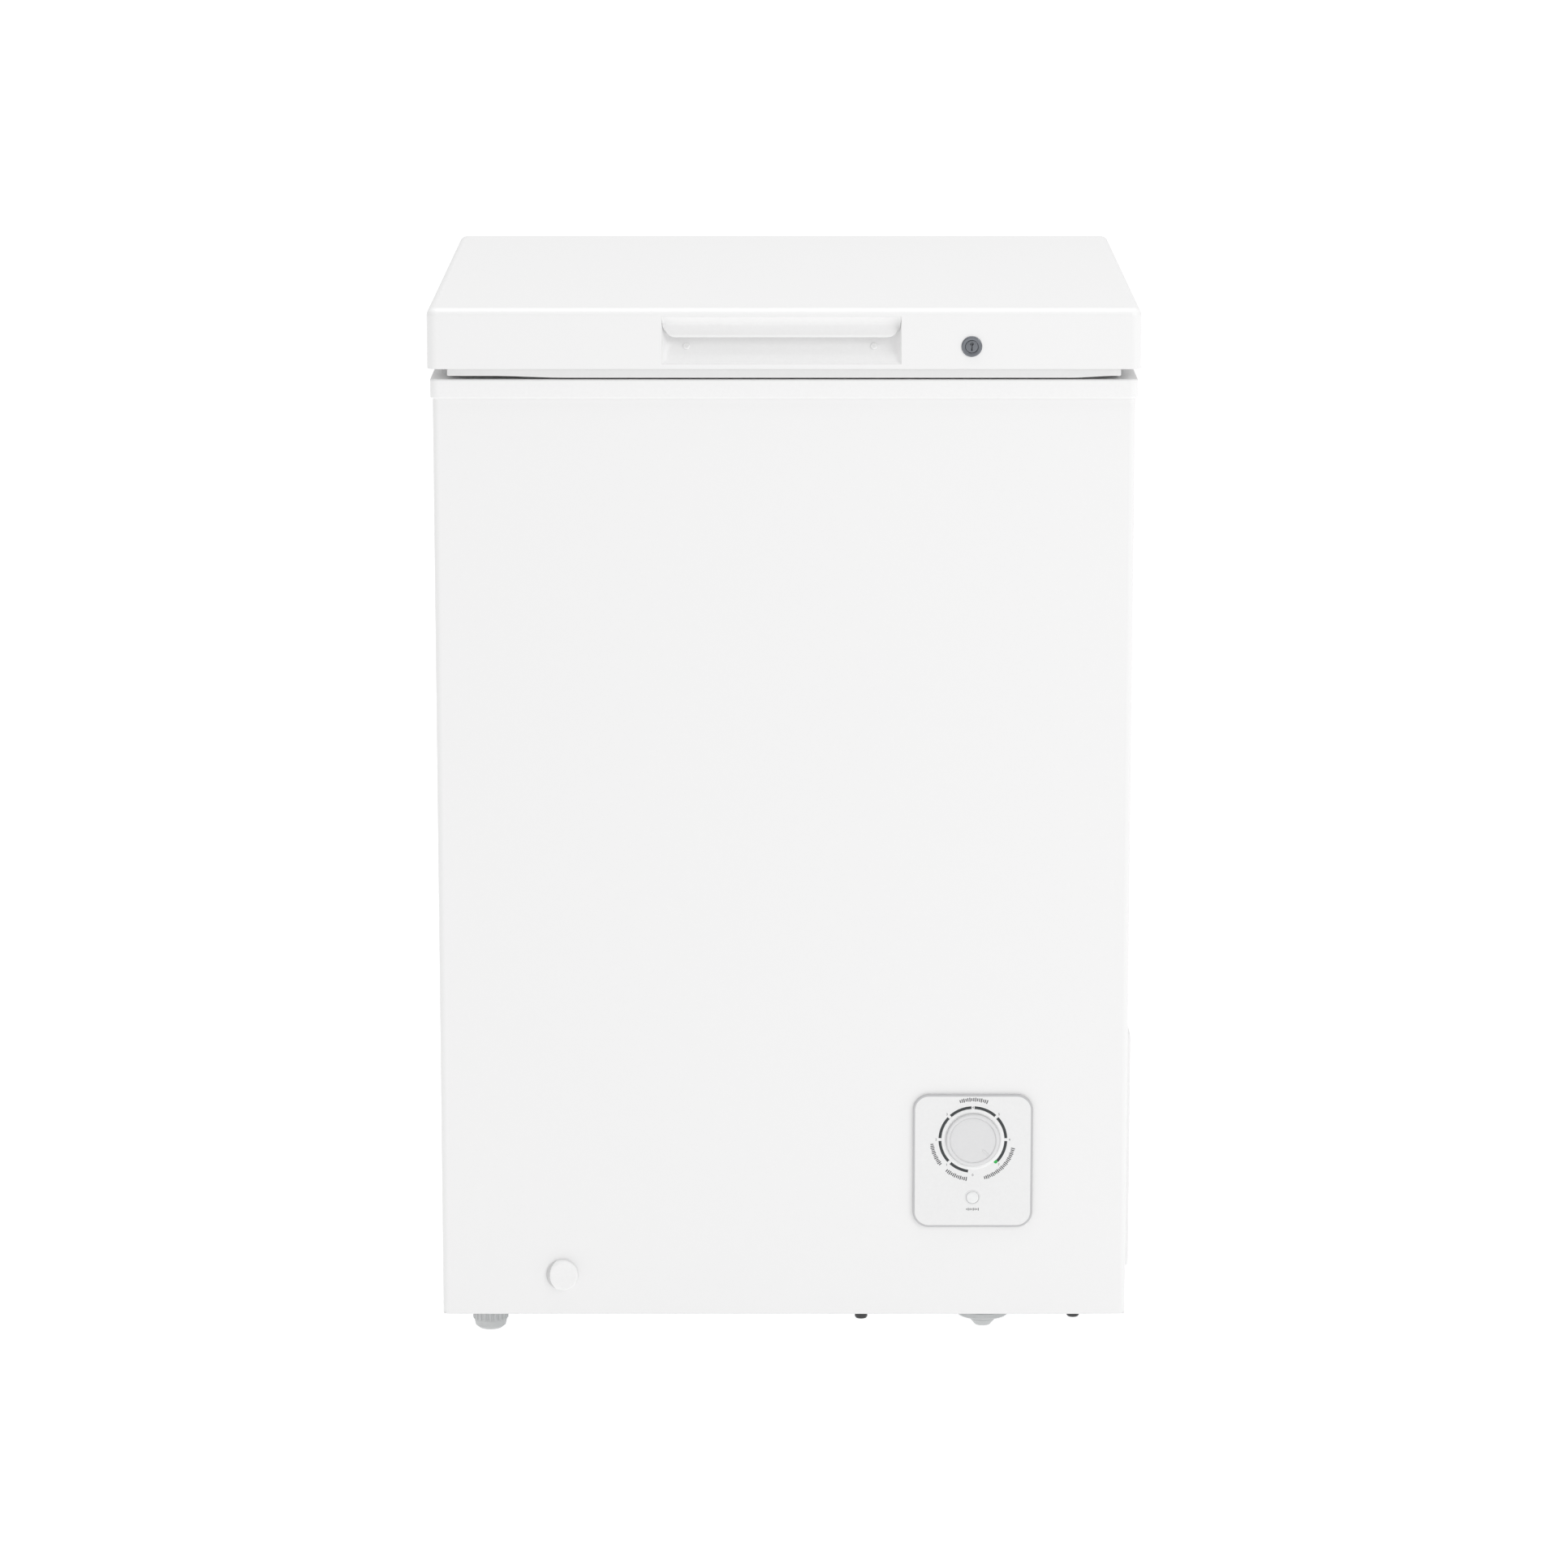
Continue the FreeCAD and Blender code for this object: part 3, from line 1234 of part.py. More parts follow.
def lock_plug():
    """Turning core with the key slot and the square tail."""
    core = rod(plug_radius, lock_proud + 7.5, (lock_across, lid_front - lock_proud + 0.4, lock_height), "y")
    slot = box(
        (lock_across - 0.9, front - 1, lock_height - 3.4), (lock_across + 0.9, front + 6, lock_height + 3.4)
    )
    return fuse(cut(core, slot), lock_square(lid_front + 7, cam_front + cam_gauge))


def lock_square(near, far):
    """The core's square tail, or the hole for it, between two depths."""
    half = 2.5
    return box((lock_across - half, near, lock_height - half), (lock_across + half, far, lock_height + half))


def lock_cam():
    """Flat tongue on the core's tail. It points sideways when the lid is free to open."""
    hub = rod(6.5, cam_gauge, (lock_across, cam_front, lock_height), "y")
    tip, back = lock_across + cam_reach, cam_front + cam_gauge
    tongue = box((lock_across, cam_front, lock_height - 5), (tip, back, lock_height + 5))
    rounded = soften(tongue, 3, lambda e: along(e, "y") and level(e, "x", tip))
    return cut(fuse(hub, rounded), lock_square(cam_front - 1, cam_front + 4))


# ---------------------------------------------------------------- hinges
def at_hinges(make):
    """One piece for each hinge, given the hinge's middle."""
    return group(make(-hinge_spacing / 2), make(hinge_spacing / 2))


def leaf_screws(height):
    return [(hinge_spacing / 2 * side + x, height) for side in (-1, 1) for x in (-18, 18)]


def lid_leaf_screws():
    return leaf_screws(hinge_height + 32)


def cabinet_leaf_screws():
    return leaf_screws(hinge_height - 52)


def knuckles(middle, starts, width, bore, rising):
    """Curled ends round the pin, each with the web that joins it to its leaf."""
    pieces = []
    for start in starts:
        barrel = rod(knuckle_radius, width, (middle + start, hinge_y, hinge_height), "x")
        low, high = (hinge_height, hinge_height + 14) if rising else (hinge_height - 18, hinge_height)
        web = box((middle + start, cab_back, low), (middle + start + width, hinge_y, high))
        pieces.append(fuse(barrel, web))
    bores = [rod(bore, width + 2, (middle + start - 1, hinge_y, hinge_height), "x") for start in starts]
    return pieces, bores


def lid_leaf(middle):
    """Leaf on the lid's back, with two outer knuckles."""
    low, high = hinge_height + 8, hinge_height + 38
    plate = box((middle - leaf_half, lid_back, low), (middle + leaf_half, lid_back + leaf_gauge, high))
    window = box((middle - 9, lid_back - 1, low - 1), (middle + 9, lid_back + 4, low + 18))
    barrels, bores = knuckles(middle, (-28, 18), 10, pin_radius + pin_fit, True)
    holes = [rod(screw_radius, 10, (middle + x, lid_back - 1, hinge_height + 32), "y") for x in (-18, 18)]
    return cut(fuse(cut(plate, window), *barrels), *bores, *holes)


def cabinet_leaf(middle):
    """Leaf on the cabinet's back, with two inner knuckles."""
    low, high = hinge_height - 72, hinge_height - 14
    plate = box((middle - leaf_half, cab_back, low), (middle + leaf_half, cab_back + leaf_gauge, high))
    window = box((middle - 9, cab_back - 1, high - 18), (middle + 9, cab_back + 4, high + 1))
    barrels, bores = knuckles(middle, (-17.6, 9), 8.6, pin_radius, False)
    holes = [rod(screw_radius, 10, (middle + x, cab_back - 1, hinge_height - 52), "y") for x in (-18, 18)]
    return cut(fuse(cut(plate, window), *barrels), *bores, *holes)


def hinge_pin(middle):
    """Headed pin held in the cabinet knuckles."""
    shape = [(0, -29.4), (4.4, -29.4), (4.4, -28.2), (pin_radius, -28.2), (pin_radius, 28.8), (0, 28.8)]
    return turned(shape, (middle, hinge_y, hinge_height), "x")


def hinge_spring(middle):
    """Coiled wire round the pin with one leg on each leaf, which carries the lid's weight."""
    wire, mean, turns, pitch, leg = 1.2, 6.6, 4, 2.6, 22
    coil = Part.makeHelix(pitch, pitch * turns, mean)
    steep = pitch / (2 * math.pi * mean)
    along_start = V(0, 1, steep).normalize()
    start, end = V(mean, 0, 0), V(mean, 0, pitch * turns)
    lead = Part.LineSegment(start - along_start * leg, start).toShape()
    trail = Part.LineSegment(end, end + along_start * leg).toShape()
    path = Part.Wire([lead] + coil.Edges + [trail])
    ring = Part.Wire([Part.Circle(start - along_start * leg, along_start, wire).toShape()])
    spring = path.makePipeShell([ring], True, False)
    sideways = FreeCAD.Rotation(V(0, -1, 0), V(0, 0, -1), V(1, 0, 0), "ZXY")
    centred = FreeCAD.Placement(V(0, 0, -pitch * turns / 2), FreeCAD.Rotation())
    spring.Placement = FreeCAD.Placement(point(middle, hinge_y, hinge_height), sideways) * centred
    return feature_of(spring)


def hinge_cover(middle):
    """Cap over the knuckles, carried by the lid, open below and towards the lid."""
    x, low, high = leaf_half + 4, hinge_height + 1, overall_height - 3
    far = overall_depth / 2
    shell = soften(
        box((middle - x, lid_back, low), (middle + x, far, high)), 4,
        lambda e: level(e, "y", far) and not level(e, "z", low),
    )
    skin = 1.6
    room = box((middle - x + skin, lid_back - 1, low - 1), (middle + x - skin, far - skin, high - skin))
    return cut(shell, room)


# ---------------------------------------------------------------- basket
def basket_loop(inset, height, radius):
    """A level closed loop of wire."""
    left, right = basket_left.value + inset, basket_right.value - inset
    near, far = basket_near.value + inset, basket_far.value - inset
    corner = 12
    middle = (left + right) / 2
    points = [
        V(middle, near, height), V(right, near, height), V(right, far, height), V(left, far, height),
        V(left, near, height), V(middle, near, height),
    ]
    return feature_of(tube_shape(points, radius, corner))


def basket_frame():
    """Heavy wire loop that rests on the tub's ledges."""
    return basket_loop(0, basket_top.value, frame_wire.value)


def leg_planes():
    """Near and far leg positions of the wires that run front to back, and their floor."""
    near = (tub_front + liner_gauge + 4).value
    far = (tub_back - liner_gauge - 4).value
    return near, far, (basket_top - basket_drop).value


def cross_wire_routes():
    """Wires that hang from the frame's front and back."""
    near, far, floor = leg_planes()
    top, frame = basket_top.value, frame_wire.value
    first, count = basket_left.value + 22, 8
    spacing = (basket_width.value - 44) / (count - 1)
    for i in range(count):
        x = first + i * spacing
        yield 3.2, [
            V(x, basket_near.value + frame, top), V(x, near, top), V(x, near, floor), V(x, far, floor),
            V(x, far, top), V(x, basket_far.value - frame, top),
        ]


def long_wire_routes():
    """Wires that hang from the frame's sides and pass under the others."""
    near, far, floor = leg_planes()
    under, top = floor - 2 * thin_wire.value, basket_top.value - frame_wire.value
    left, right = basket_left.value, basket_right.value
    first, count = near + 20, 14
    spacing = (far - near - 40) / (count - 1)
    for i in range(count):
        y = first + i * spacing
        yield 6, [V(left, y, top), V(left, y, under), V(right, y, under), V(right, y, top)]


def ring_routes():
    """Level wires inside the others at two heights."""
    near, far, floor = leg_planes()
    step_in = 2 * thin_wire.value
    left, right = basket_left.value + step_in, basket_right.value - step_in
    front_run, back_run = near + step_in, far - step_in
    middle = (left + right) / 2
    for height in (floor + 50, floor + 104):
        yield 8, [
            V(middle, front_run, height), V(right, front_run, height), V(right, back_run, height),
            V(left, back_run, height), V(left, front_run, height), V(middle, front_run, height),
        ]


def basket_wires():
    """All the thin wires, each touching the ones it crosses."""
    routes = [*cross_wire_routes(), *long_wire_routes(), *ring_routes()]
    return group(*[feature_of(tube_shape(route, thin_wire.value, bend)) for bend, route in routes])


def basket_grips():
    """Moulded finger grips on the frame's front and back."""
    grips = []
    middle = (basket_left + basket_right) / 2
    for y, inward in ((basket_near, 1), (basket_far, -1)):
        sides = sorted((y - 2.7 * inward, y + 4.2 * inward), key=lambda d: d.value)
        block = box((middle - 34, sides[0], basket_top + 1.5), (middle + 34, sides[1], basket_top + 12))
        rounded = soften(block, 2.4, lambda e: along(e, "y") and level(e, "z", basket_top + 12))
        bore = rod(frame_wire, 80, (middle - 40, y, basket_top), "x")
        low, high = basket_top + 4.4, basket_top + 9.4
        hollow = box((middle - 24, sides[0] - 1, low), (middle + 24, sides[1] + 1, high))
        grips.append(cut(rounded, bore, hollow))
    return group(*grips)


# ---------------------------------------------------------------- assembly
def tube_node(label, points, radius, bend, *trim):
    """A bent tube as a node, trimmed by its neighbours."""
    shape = feature_of(tube_shape(points, radius, bend))
    return node(label, cut(shape, *trim) if trim else shape)


def build_cabinet():
    node("outer_shell", outer_shell())
    node("back_panel", back_panel())
    node("base_pan", base_pan())
    node("machine_bulkhead", machine_bulkhead())
    node("machine_base_plate", machine_base_plate())
    node("base_bolts", base_bolts())
    node("inner_liner", inner_liner())
    node("top_trim", top_trim())
    node("lock_keeper", lock_keeper())
    node("rear_feet", rear_feet())
    node("foot_nuts", foot_nuts())


def build_cooling():
    can = node("compressor_shell", compressor_shell())
    node("compressor_legs", compressor_feet())
    node("compressor_grommets", compressor_grommets())
    node("compressor_bolts", compressor_bolts())
    node("compressor_terminal_cover", compressor_terminal_cover())
    node("filter_drier", filter_drier())
    tube_node("suction_pipe", suction_pipe(), 4, 9, can)
    tube_node("discharge_pipe", discharge_pipe(), 3, 9, can)
    coil = tube_node("evaporator_coil", evaporator_path(), coil_tube.value, 26)
    hot = tube_node("condenser_coil", condenser_path(), coil_tube.value, 26)
    node("cabinet_foam", cut(cabinet_foam(), coil, hot))


def build_controls():
    node("control_panel", control_panel())
    node("thermostat_body", thermostat_body())
    node("lamp_lens", lamp_lens())
    node("lamp_holder", lamp_holder())
    tube_node("wiring_harness", wiring_harness(), 3, 9)
    node("thermostat_knob", thermostat_knob())
    node("thermostat_shaft", thermostat_shaft())
    node("side_vent_cover", side_vent_cover())
    node("rear_machine_cover", rear_machine_cover())
    node("cord_gland", cord_gland())


def build_drain_and_feet():
    node("drain_tube", feature_of(drain_tube()))
    node("drain_outlet", drain_outlet())
    node("drain_cap", drain_cap())
    node("drain_plug", drain_plug())
    node("left_foot", ribbed_foot(-foot_across, foot_y))
    node("right_foot", flanged_foot(foot_right, foot_right_y))


def build_lid():
    node("lid_shell", lid_shell())
    node("lid_foam", lid_foam())
    node("lid_liner", lid_liner())
    node("lid_gasket", lid_gasket())
    node("lid_front_lip", lid_front_lip())
    node("handle_insert", handle_insert())
    node("lock_housing", lock_housing())
    node("lock_barrel", lock_barrel())
    node("lock_nut", lock_nut())
    node("lock_plug", lock_plug())
    node("lock_cam", lock_cam())


def build_hinges():
    node("cabinet_hinge_leaves", at_hinges(cabinet_leaf))
    node("lid_hinge_leaves", at_hinges(lid_leaf))
    node("hinge_pins", at_hinges(hinge_pin))
    node("hinge_springs", at_hinges(hinge_spring))
    node("hinge_covers", at_hinges(hinge_cover))
    leaf_back = cab_back + leaf_gauge
    cover_back = cab_back + 1
    fixed = back_screws(leaf_back, cabinet_leaf_screws()) + back_screws(cover_back, rear_cover_corners())
    node("cabinet_screws", group(*fixed, *vent_screws()))
    node("lid_screws", group(*back_screws(leaf_back, lid_leaf_screws()), *handle_screws()))


def build_basket():
    node("basket_frame", basket_frame())
    node("basket_wires", basket_wires())
    node("basket_grips", basket_grips())


def check_and_export():
    """Stops on any failed object or faulty shape, then writes one STEP file for each node."""
    doc.recompute()
    for thing in doc.Objects:
        if {"Invalid", "Error"} & set(thing.State):
            raise RuntimeError(f"{thing.Name} ({thing.Label}) is {thing.State}")
    if len(nodes) > 60:
        raise RuntimeError(f"{len(nodes)} nodes")
    os.makedirs("parts", exist_ok=True)
    for thing in nodes:
        if thing.Shape.isNull() or not thing.Shape.isValid():
            raise RuntimeError(f"{thing.Label} has a faulty shape")
        thing.Shape.exportStep(f"parts/{thing.Label}.step")
        print(thing.Label, len(thing.Shape.Solids), round(thing.Shape.Volume / 1000, 2), "cm3")


build_cabinet()
build_cooling()
build_controls()
build_drain_and_feet()
build_lid()
build_hinges()
build_basket()
check_and_export()
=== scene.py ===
"""Finished looks for a small chest freezer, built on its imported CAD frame.

Metres. +Z is up, the front faces -Y and +X is the viewer's right. Every place is read from the frame.
"""
import math

import bmesh
import bpy
from mathutils import Matrix, Vector


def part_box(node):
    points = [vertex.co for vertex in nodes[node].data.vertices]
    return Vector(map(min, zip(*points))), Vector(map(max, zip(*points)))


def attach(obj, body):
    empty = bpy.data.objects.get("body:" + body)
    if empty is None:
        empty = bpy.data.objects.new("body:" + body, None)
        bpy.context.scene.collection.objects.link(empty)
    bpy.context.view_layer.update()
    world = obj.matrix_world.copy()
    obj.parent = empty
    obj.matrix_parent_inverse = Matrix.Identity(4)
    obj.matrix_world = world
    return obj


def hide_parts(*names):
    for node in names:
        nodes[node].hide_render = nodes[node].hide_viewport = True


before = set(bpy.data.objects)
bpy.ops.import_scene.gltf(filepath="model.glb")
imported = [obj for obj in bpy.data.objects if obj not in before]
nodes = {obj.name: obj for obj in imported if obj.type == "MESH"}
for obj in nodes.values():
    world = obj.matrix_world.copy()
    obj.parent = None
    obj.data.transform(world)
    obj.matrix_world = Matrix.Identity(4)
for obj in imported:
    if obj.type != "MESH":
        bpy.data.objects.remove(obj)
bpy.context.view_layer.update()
MM = 0.001


# ---------------------------------------------------------------- places read from the frame
class Box:
    """Corners, middle and size of a CAD node at rest."""

    def __init__(self, node):
        self.low, self.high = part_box(node)
        self.mid = (self.low + self.high) / 2
        self.size = self.high - self.low


lid = Box("lid_shell")
shell = Box("outer_shell")
panel = Box("control_panel")
knob = Box("thermostat_knob")
lamp = Box("lamp_lens")
handle = Box("handle_insert")
barrel = Box("lock_barrel")
core = Box("lock_plug")
cap = Box("drain_cap")
vent = Box("side_vent_cover")
rear_cover = Box("rear_machine_cover")
gasket = Box("lid_gasket")
strip = Box("lid_front_lip")


# ---------------------------------------------------------------- materials
class Shader:
    """A Principled material under construction, with the few node patterns that the finishes share."""

    def __init__(self, name, colour, roughness, metallic=0.0, coat=0.0, specular=0.5):
        self.material = bpy.data.materials.new(name)
        self.material.use_nodes = True
        self.tree = self.material.node_tree
        self.bsdf = self.tree.nodes["Principled BSDF"]
        self.set("Base Color", (*colour, 1.0))
        self.set("Roughness", roughness)
        self.set("Metallic", metallic)
        self.set("Coat Weight", coat)
        self.set("Coat Roughness", 0.3)
        self.set("Specular IOR Level", specular)
        self.place = self.node("ShaderNodeTexCoord").outputs["Object"]
        self.normal = None

    def set(self, socket, value):
        self.bsdf.inputs[socket].default_value = value

    def node(self, kind, **inputs):
        made = self.tree.nodes.new(kind)
        for name, value in inputs.items():
            made.inputs[name].default_value = value
        return made

    def link(self, out, into):
        self.tree.links.new(out, into)

    def stretched(self, scale):
        """Object coordinates squeezed along each axis."""
        mapping = self.node("ShaderNodeMapping")
        mapping.inputs["Scale"].default_value = scale
        self.link(self.place, mapping.inputs["Vector"])
        return mapping.outputs["Vector"]

    def noise(self, scale, detail=2.0, stretch=None, rough=0.5):
        texture = self.node("ShaderNodeTexNoise", Scale=scale, Detail=detail, Roughness=rough)
        source = self.stretched(stretch) if stretch else self.place
        self.link(source, texture.inputs["Vector"])
        return texture.outputs["Fac"]

    def cells(self, scale):
        texture = self.node("ShaderNodeTexVoronoi", Scale=scale)
        self.link(self.place, texture.inputs["Vector"])
        return texture

    def span(self, fac, low, high, start=0.3, end=0.7):
        """Maps a texture's middle range onto low to high."""
        made = self.node("ShaderNodeMapRange")
        for socket, value in zip(("From Min", "From Max", "To Min", "To Max"), (start, end, low, high)):
            made.inputs[socket].default_value = value
        self.link(fac, made.inputs["Value"])
        return made.outputs["Result"]

    def vary_colour(self, fac, first, second):
        """Blends two colours by a texture."""
        ramp = self.node("ShaderNodeValToRGB")
        ramp.color_ramp.elements[0].position, ramp.color_ramp.elements[1].position = 0.3, 0.7
        ramp.color_ramp.elements[0].color = (*first, 1.0)
        ramp.color_ramp.elements[1].color = (*second, 1.0)
        self.link(fac, ramp.inputs["Fac"])
        self.link(ramp.outputs["Color"], self.bsdf.inputs["Base Color"])

    def vary_roughness(self, fac, low, high):
        self.link(self.span(fac, low, high), self.bsdf.inputs["Roughness"])

    def bump(self, height, depth, strength=1.0):
        """Adds a height texture of a depth in metres on top of the ones before."""
        made = self.node("ShaderNodeBump", Strength=strength, Distance=depth)
        self.link(height, made.inputs["Height"])
        if self.normal:
            self.link(self.normal, made.inputs["Normal"])
        self.normal = made.outputs["Normal"]
        self.link(self.normal, self.bsdf.inputs["Normal"])

    def soft_edges(self, radius):
        """Rounds sharp edges in the shading."""
        made = self.node("ShaderNodeBevel", Radius=radius)
        made.samples = 6
        self.normal = made.outputs["Normal"]
        self.link(self.normal, self.bsdf.inputs["Normal"])


def shade(colour, factor):
    return tuple(min(1.0, c * factor) for c in colour)


def paint(name, colour, roughness=0.3, edge=0.0006):
    """Baked enamel on sheet: faint orange peel and slightly uneven gloss."""
    s = Shader(name, colour, roughness, coat=0.25)
    s.soft_edges(edge)
    s.vary_colour(s.noise(650.0, 3.0), shade(colour, 0.994), colour)
    s.vary_roughness(s.noise(260.0, 3.0), roughness * 0.92, roughness * 1.08)
    s.bump(s.noise(420.0, 1.0), 0.000004, 0.25)
    return s.material


def moulded(name, colour, roughness=0.38, grain=900.0, depth=0.00002, edge=0.0004):
    """Injection-moulded plastic with a fine spark texture."""
    s = Shader(name, colour, roughness)
    s.soft_edges(edge)
    s.vary_colour(s.noise(380.0, 3.0), shade(colour, 0.98), colour)
    s.vary_roughness(s.noise(240.0, 3.0), roughness * 0.9, roughness * 1.12)
    s.bump(s.noise(grain, 3.0, rough=0.7), depth, 0.6)
    return s.material


def metal(name, colour, roughness=0.32, stretch=(1.0, 1.0, 40.0), depth=0.00002):
    """Drawn or plated metal with fine directional scratches."""
    s = Shader(name, colour, roughness, metallic=1.0)
    s.soft_edges(0.0003)
    fine = s.noise(160.0, 5.0, stretch)
    s.vary_colour(s.noise(35.0, 4.0), shade(colour, 0.86), colour)
    s.vary_roughness(fine, roughness * 0.75, roughness * 1.3)
    s.bump(fine, depth, 0.5)
    return s.material


def galvanised(name):
    """Hot-dip zinc with a faint spangle."""
    colour = (0.60, 0.62, 0.64)
    s = Shader(name, colour, 0.42, metallic=0.9)
    s.soft_edges(0.0004)
    spangle = s.cells(190.0)
    s.vary_colour(spangle.outputs["Color"], shade(colour, 0.93), shade(colour, 1.03))
    s.vary_roughness(spangle.outputs["Color"], 0.40, 0.46)
    s.bump(s.noise(300.0, 3.0), 0.00002, 0.5)
    return s.material


def rubber(name, colour, roughness=0.7, ribs=None):
    """Soft vinyl or rubber, dull and a little uneven, with optional ribs."""
    s = Shader(name, colour, roughness, specular=0.35)
    s.soft_edges(0.0003)
    s.vary_colour(s.noise(40.0, 4.0), shade(colour, 0.85), shade(colour, 1.1))
    s.bump(s.noise(700.0, 4.0), 0.00004, 0.6)
    if ribs:
        s.bump(s.noise(ribs, 1.0), 0.0002, 0.4)
    return s.material


def rigid_foam(name):
    """Yellowish poured foam with small bubbles."""
    colour = (0.86, 0.78, 0.55)
    s = Shader(name, colour, 0.95, specular=0.2)
    bubbles = s.cells(420.0)
    s.vary_colour(s.noise(30.0, 5.0), shade(colour, 0.85), colour)
    s.bump(bubbles.outputs["Distance"], 0.0008, 0.8)
    return s.material


def clear_lens(name):
    """Milky lamp lens that the light enters a little way."""
    s = Shader(name, (0.80, 0.805, 0.805), 0.3, coat=0.2)
    s.soft_edges(0.0002)
    s.vary_colour(s.noise(300.0, 2.0), (0.78, 0.785, 0.785), (0.82, 0.825, 0.825))
    s.set("Subsurface Weight", 0.15)
    s.set("Subsurface Radius", (0.003, 0.003, 0.003))
    s.set("Subsurface Scale", 0.5)
    return s.material


def ink(name, colour, roughness=0.55):
    """Pad-printed ink, with the slight unevenness of a thin film."""
    s = Shader(name, colour, roughness)
    s.vary_colour(s.noise(1400.0, 3.0), shade(colour, 0.85), shade(colour, 1.15))
    s.bump(s.noise(2500.0, 2.0), 0.00001, 0.5)
    return s.material


WHITE = (0.832, 0.831, 0.831)
cabinet_paint = paint("cabinet_paint", WHITE, 0.38)
lid_paint = paint("lid_paint", WHITE, 0.42)
trim_plastic = moulded("trim_plastic", (0.853, 0.852, 0.852), 0.36)
white_plastic = moulded("white_plastic", (0.843, 0.842, 0.842), 0.4)
# the moulding's own white, partly painted light: set brighter than the cabinet's to lift the shade inside the
# handle recess
handle_plastic = moulded("handle_plastic", (0.86, 0.859, 0.859), 0.42)
liner_plastic = moulded("liner_plastic", (0.82, 0.84, 0.86), 0.33, grain=380.0, depth=0.00003)
panel_plastic = moulded("panel_plastic", (0.803, 0.803, 0.804), 0.36, grain=1500.0)
border_grey = moulded("border_grey", (0.51, 0.51, 0.52), 0.3)
bezel_white = moulded("bezel_white", (0.863, 0.863, 0.863), 0.4)
seat_grey = moulded("seat_grey", (0.76, 0.762, 0.765), 0.4)
# painted shade: darker grey for the drain cap's left finger slope, standing in for its shadow
painted_shade_grey = moulded("painted_shade_grey", (0.60, 0.60, 0.60), 0.5)
knob_grey = moulded("knob_grey", (0.70, 0.70, 0.705), 0.34, grain=1600.0)
lip_vinyl = moulded("lip_vinyl", (0.742, 0.742, 0.742), 0.5)
foot_grey = moulded("foot_grey", (0.55, 0.56, 0.56), 0.5)
black_plastic = moulded("black_plastic", (0.03, 0.03, 0.032), 0.5)
dark_lock = metal("dark_lock", (0.20, 0.21, 0.23), 0.3, stretch=(1.0, 30.0, 1.0))
zinc = metal("zinc", (0.66, 0.67, 0.69), 0.3)
spring_steel = metal("spring_steel", (0.30, 0.31, 0.33), 0.35)
copper = metal("copper", (0.80, 0.42, 0.28), 0.3)
coil_metal = metal("coil_metal", (0.68, 0.69, 0.71), 0.38)
sheet_zinc = galvanised("sheet_zinc")
can_black = paint("can_black", (0.018, 0.018, 0.02), 0.28)
black_rubber = rubber("black_rubber", (0.02, 0.02, 0.021))
gasket_vinyl = rubber("gasket_vinyl", (0.62, 0.63, 0.64), 0.55)
# painted shade: near-black bead colour standing in for the shadow line between lid and rim
painted_shade_bead = rubber("painted_shade_bead", (0.10, 0.10, 0.105), 0.55)
hose_vinyl = rubber("hose_vinyl", (0.60, 0.61, 0.62), 0.45, ribs=260.0)
loom_sleeve = rubber("loom_sleeve", (0.03, 0.03, 0.034), 0.75, ribs=500.0)
foam = rigid_foam("foam")
lens_milk = clear_lens("lens_milk")
wire_white = paint("wire_white", (0.83, 0.835, 0.835), 0.32, edge=0.0002)
dial_ink = ink("dial_ink", (0.035, 0.04, 0.042))
soft_ink = ink("soft_ink", (0.09, 0.09, 0.095))
green_ink = ink("green_ink", (0.03, 0.42, 0.08))

CAD_FINISH = {
    "outer_shell": cabinet_paint, "back_panel": cabinet_paint, "base_pan": sheet_zinc,
    "machine_bulkhead": sheet_zinc, "machine_base_plate": sheet_zinc, "base_bolts": can_black,
    "inner_liner": liner_plastic, "top_trim": trim_plastic, "lock_keeper": white_plastic,
    "rear_feet": foot_grey, "foot_nuts": zinc, "compressor_shell": can_black, "compressor_legs": can_black,
    "compressor_grommets": black_rubber, "compressor_bolts": zinc,
    "compressor_terminal_cover": black_plastic, "filter_drier": copper, "suction_pipe": copper,
    "discharge_pipe": copper, "evaporator_coil": coil_metal, "condenser_coil": coil_metal,
    "cabinet_foam": foam, "control_panel": panel_plastic, "thermostat_body": black_plastic,
    "lamp_lens": lens_milk, "lamp_holder": black_plastic, "wiring_harness": loom_sleeve,
    "side_vent_cover": white_plastic, "rear_machine_cover": sheet_zinc, "cord_gland": black_rubber,
    "drain_tube": hose_vinyl, "drain_outlet": white_plastic, "cabinet_hinge_leaves": zinc,
    "hinge_pins": zinc, "hinge_springs": spring_steel, "cabinet_screws": zinc,
    "thermostat_knob": knob_grey, "thermostat_shaft": zinc, "drain_cap": white_plastic,
    "drain_plug": white_plastic, "left_foot": foot_grey, "right_foot": foot_grey,
    "basket_frame": wire_white, "basket_wires": wire_white, "basket_grips": white_plastic,
    "lid_shell": lid_paint, "lid_foam": foam, "lid_liner": liner_plastic, "lid_gasket": gasket_vinyl,
    "lid_front_lip": lip_vinyl, "handle_insert": handle_plastic,
    "lock_housing": white_plastic, "lock_barrel": dark_lock,
    "lock_nut": zinc, "lid_hinge_leaves": zinc, "hinge_covers": white_plastic, "lid_screws": zinc,
    "lock_plug": dark_lock, "lock_cam": zinc,
}


def smooth(mesh, degrees=32.0):
    """Smooth shading with edges sharper than the angle kept crisp."""
    mesh.polygons.foreach_set("use_smooth", [True] * len(mesh.polygons))
    mesh.set_sharp_from_angle(angle=math.radians(degrees))


def finish_cad_nodes():
    """Gives every CAD node its material, also where a finer piece takes its place."""
    for name, node in nodes.items():
        node.data.materials.clear()
        node.data.materials.append(CAD_FINISH[name])
        smooth(node.data)


finish_cad_nodes()


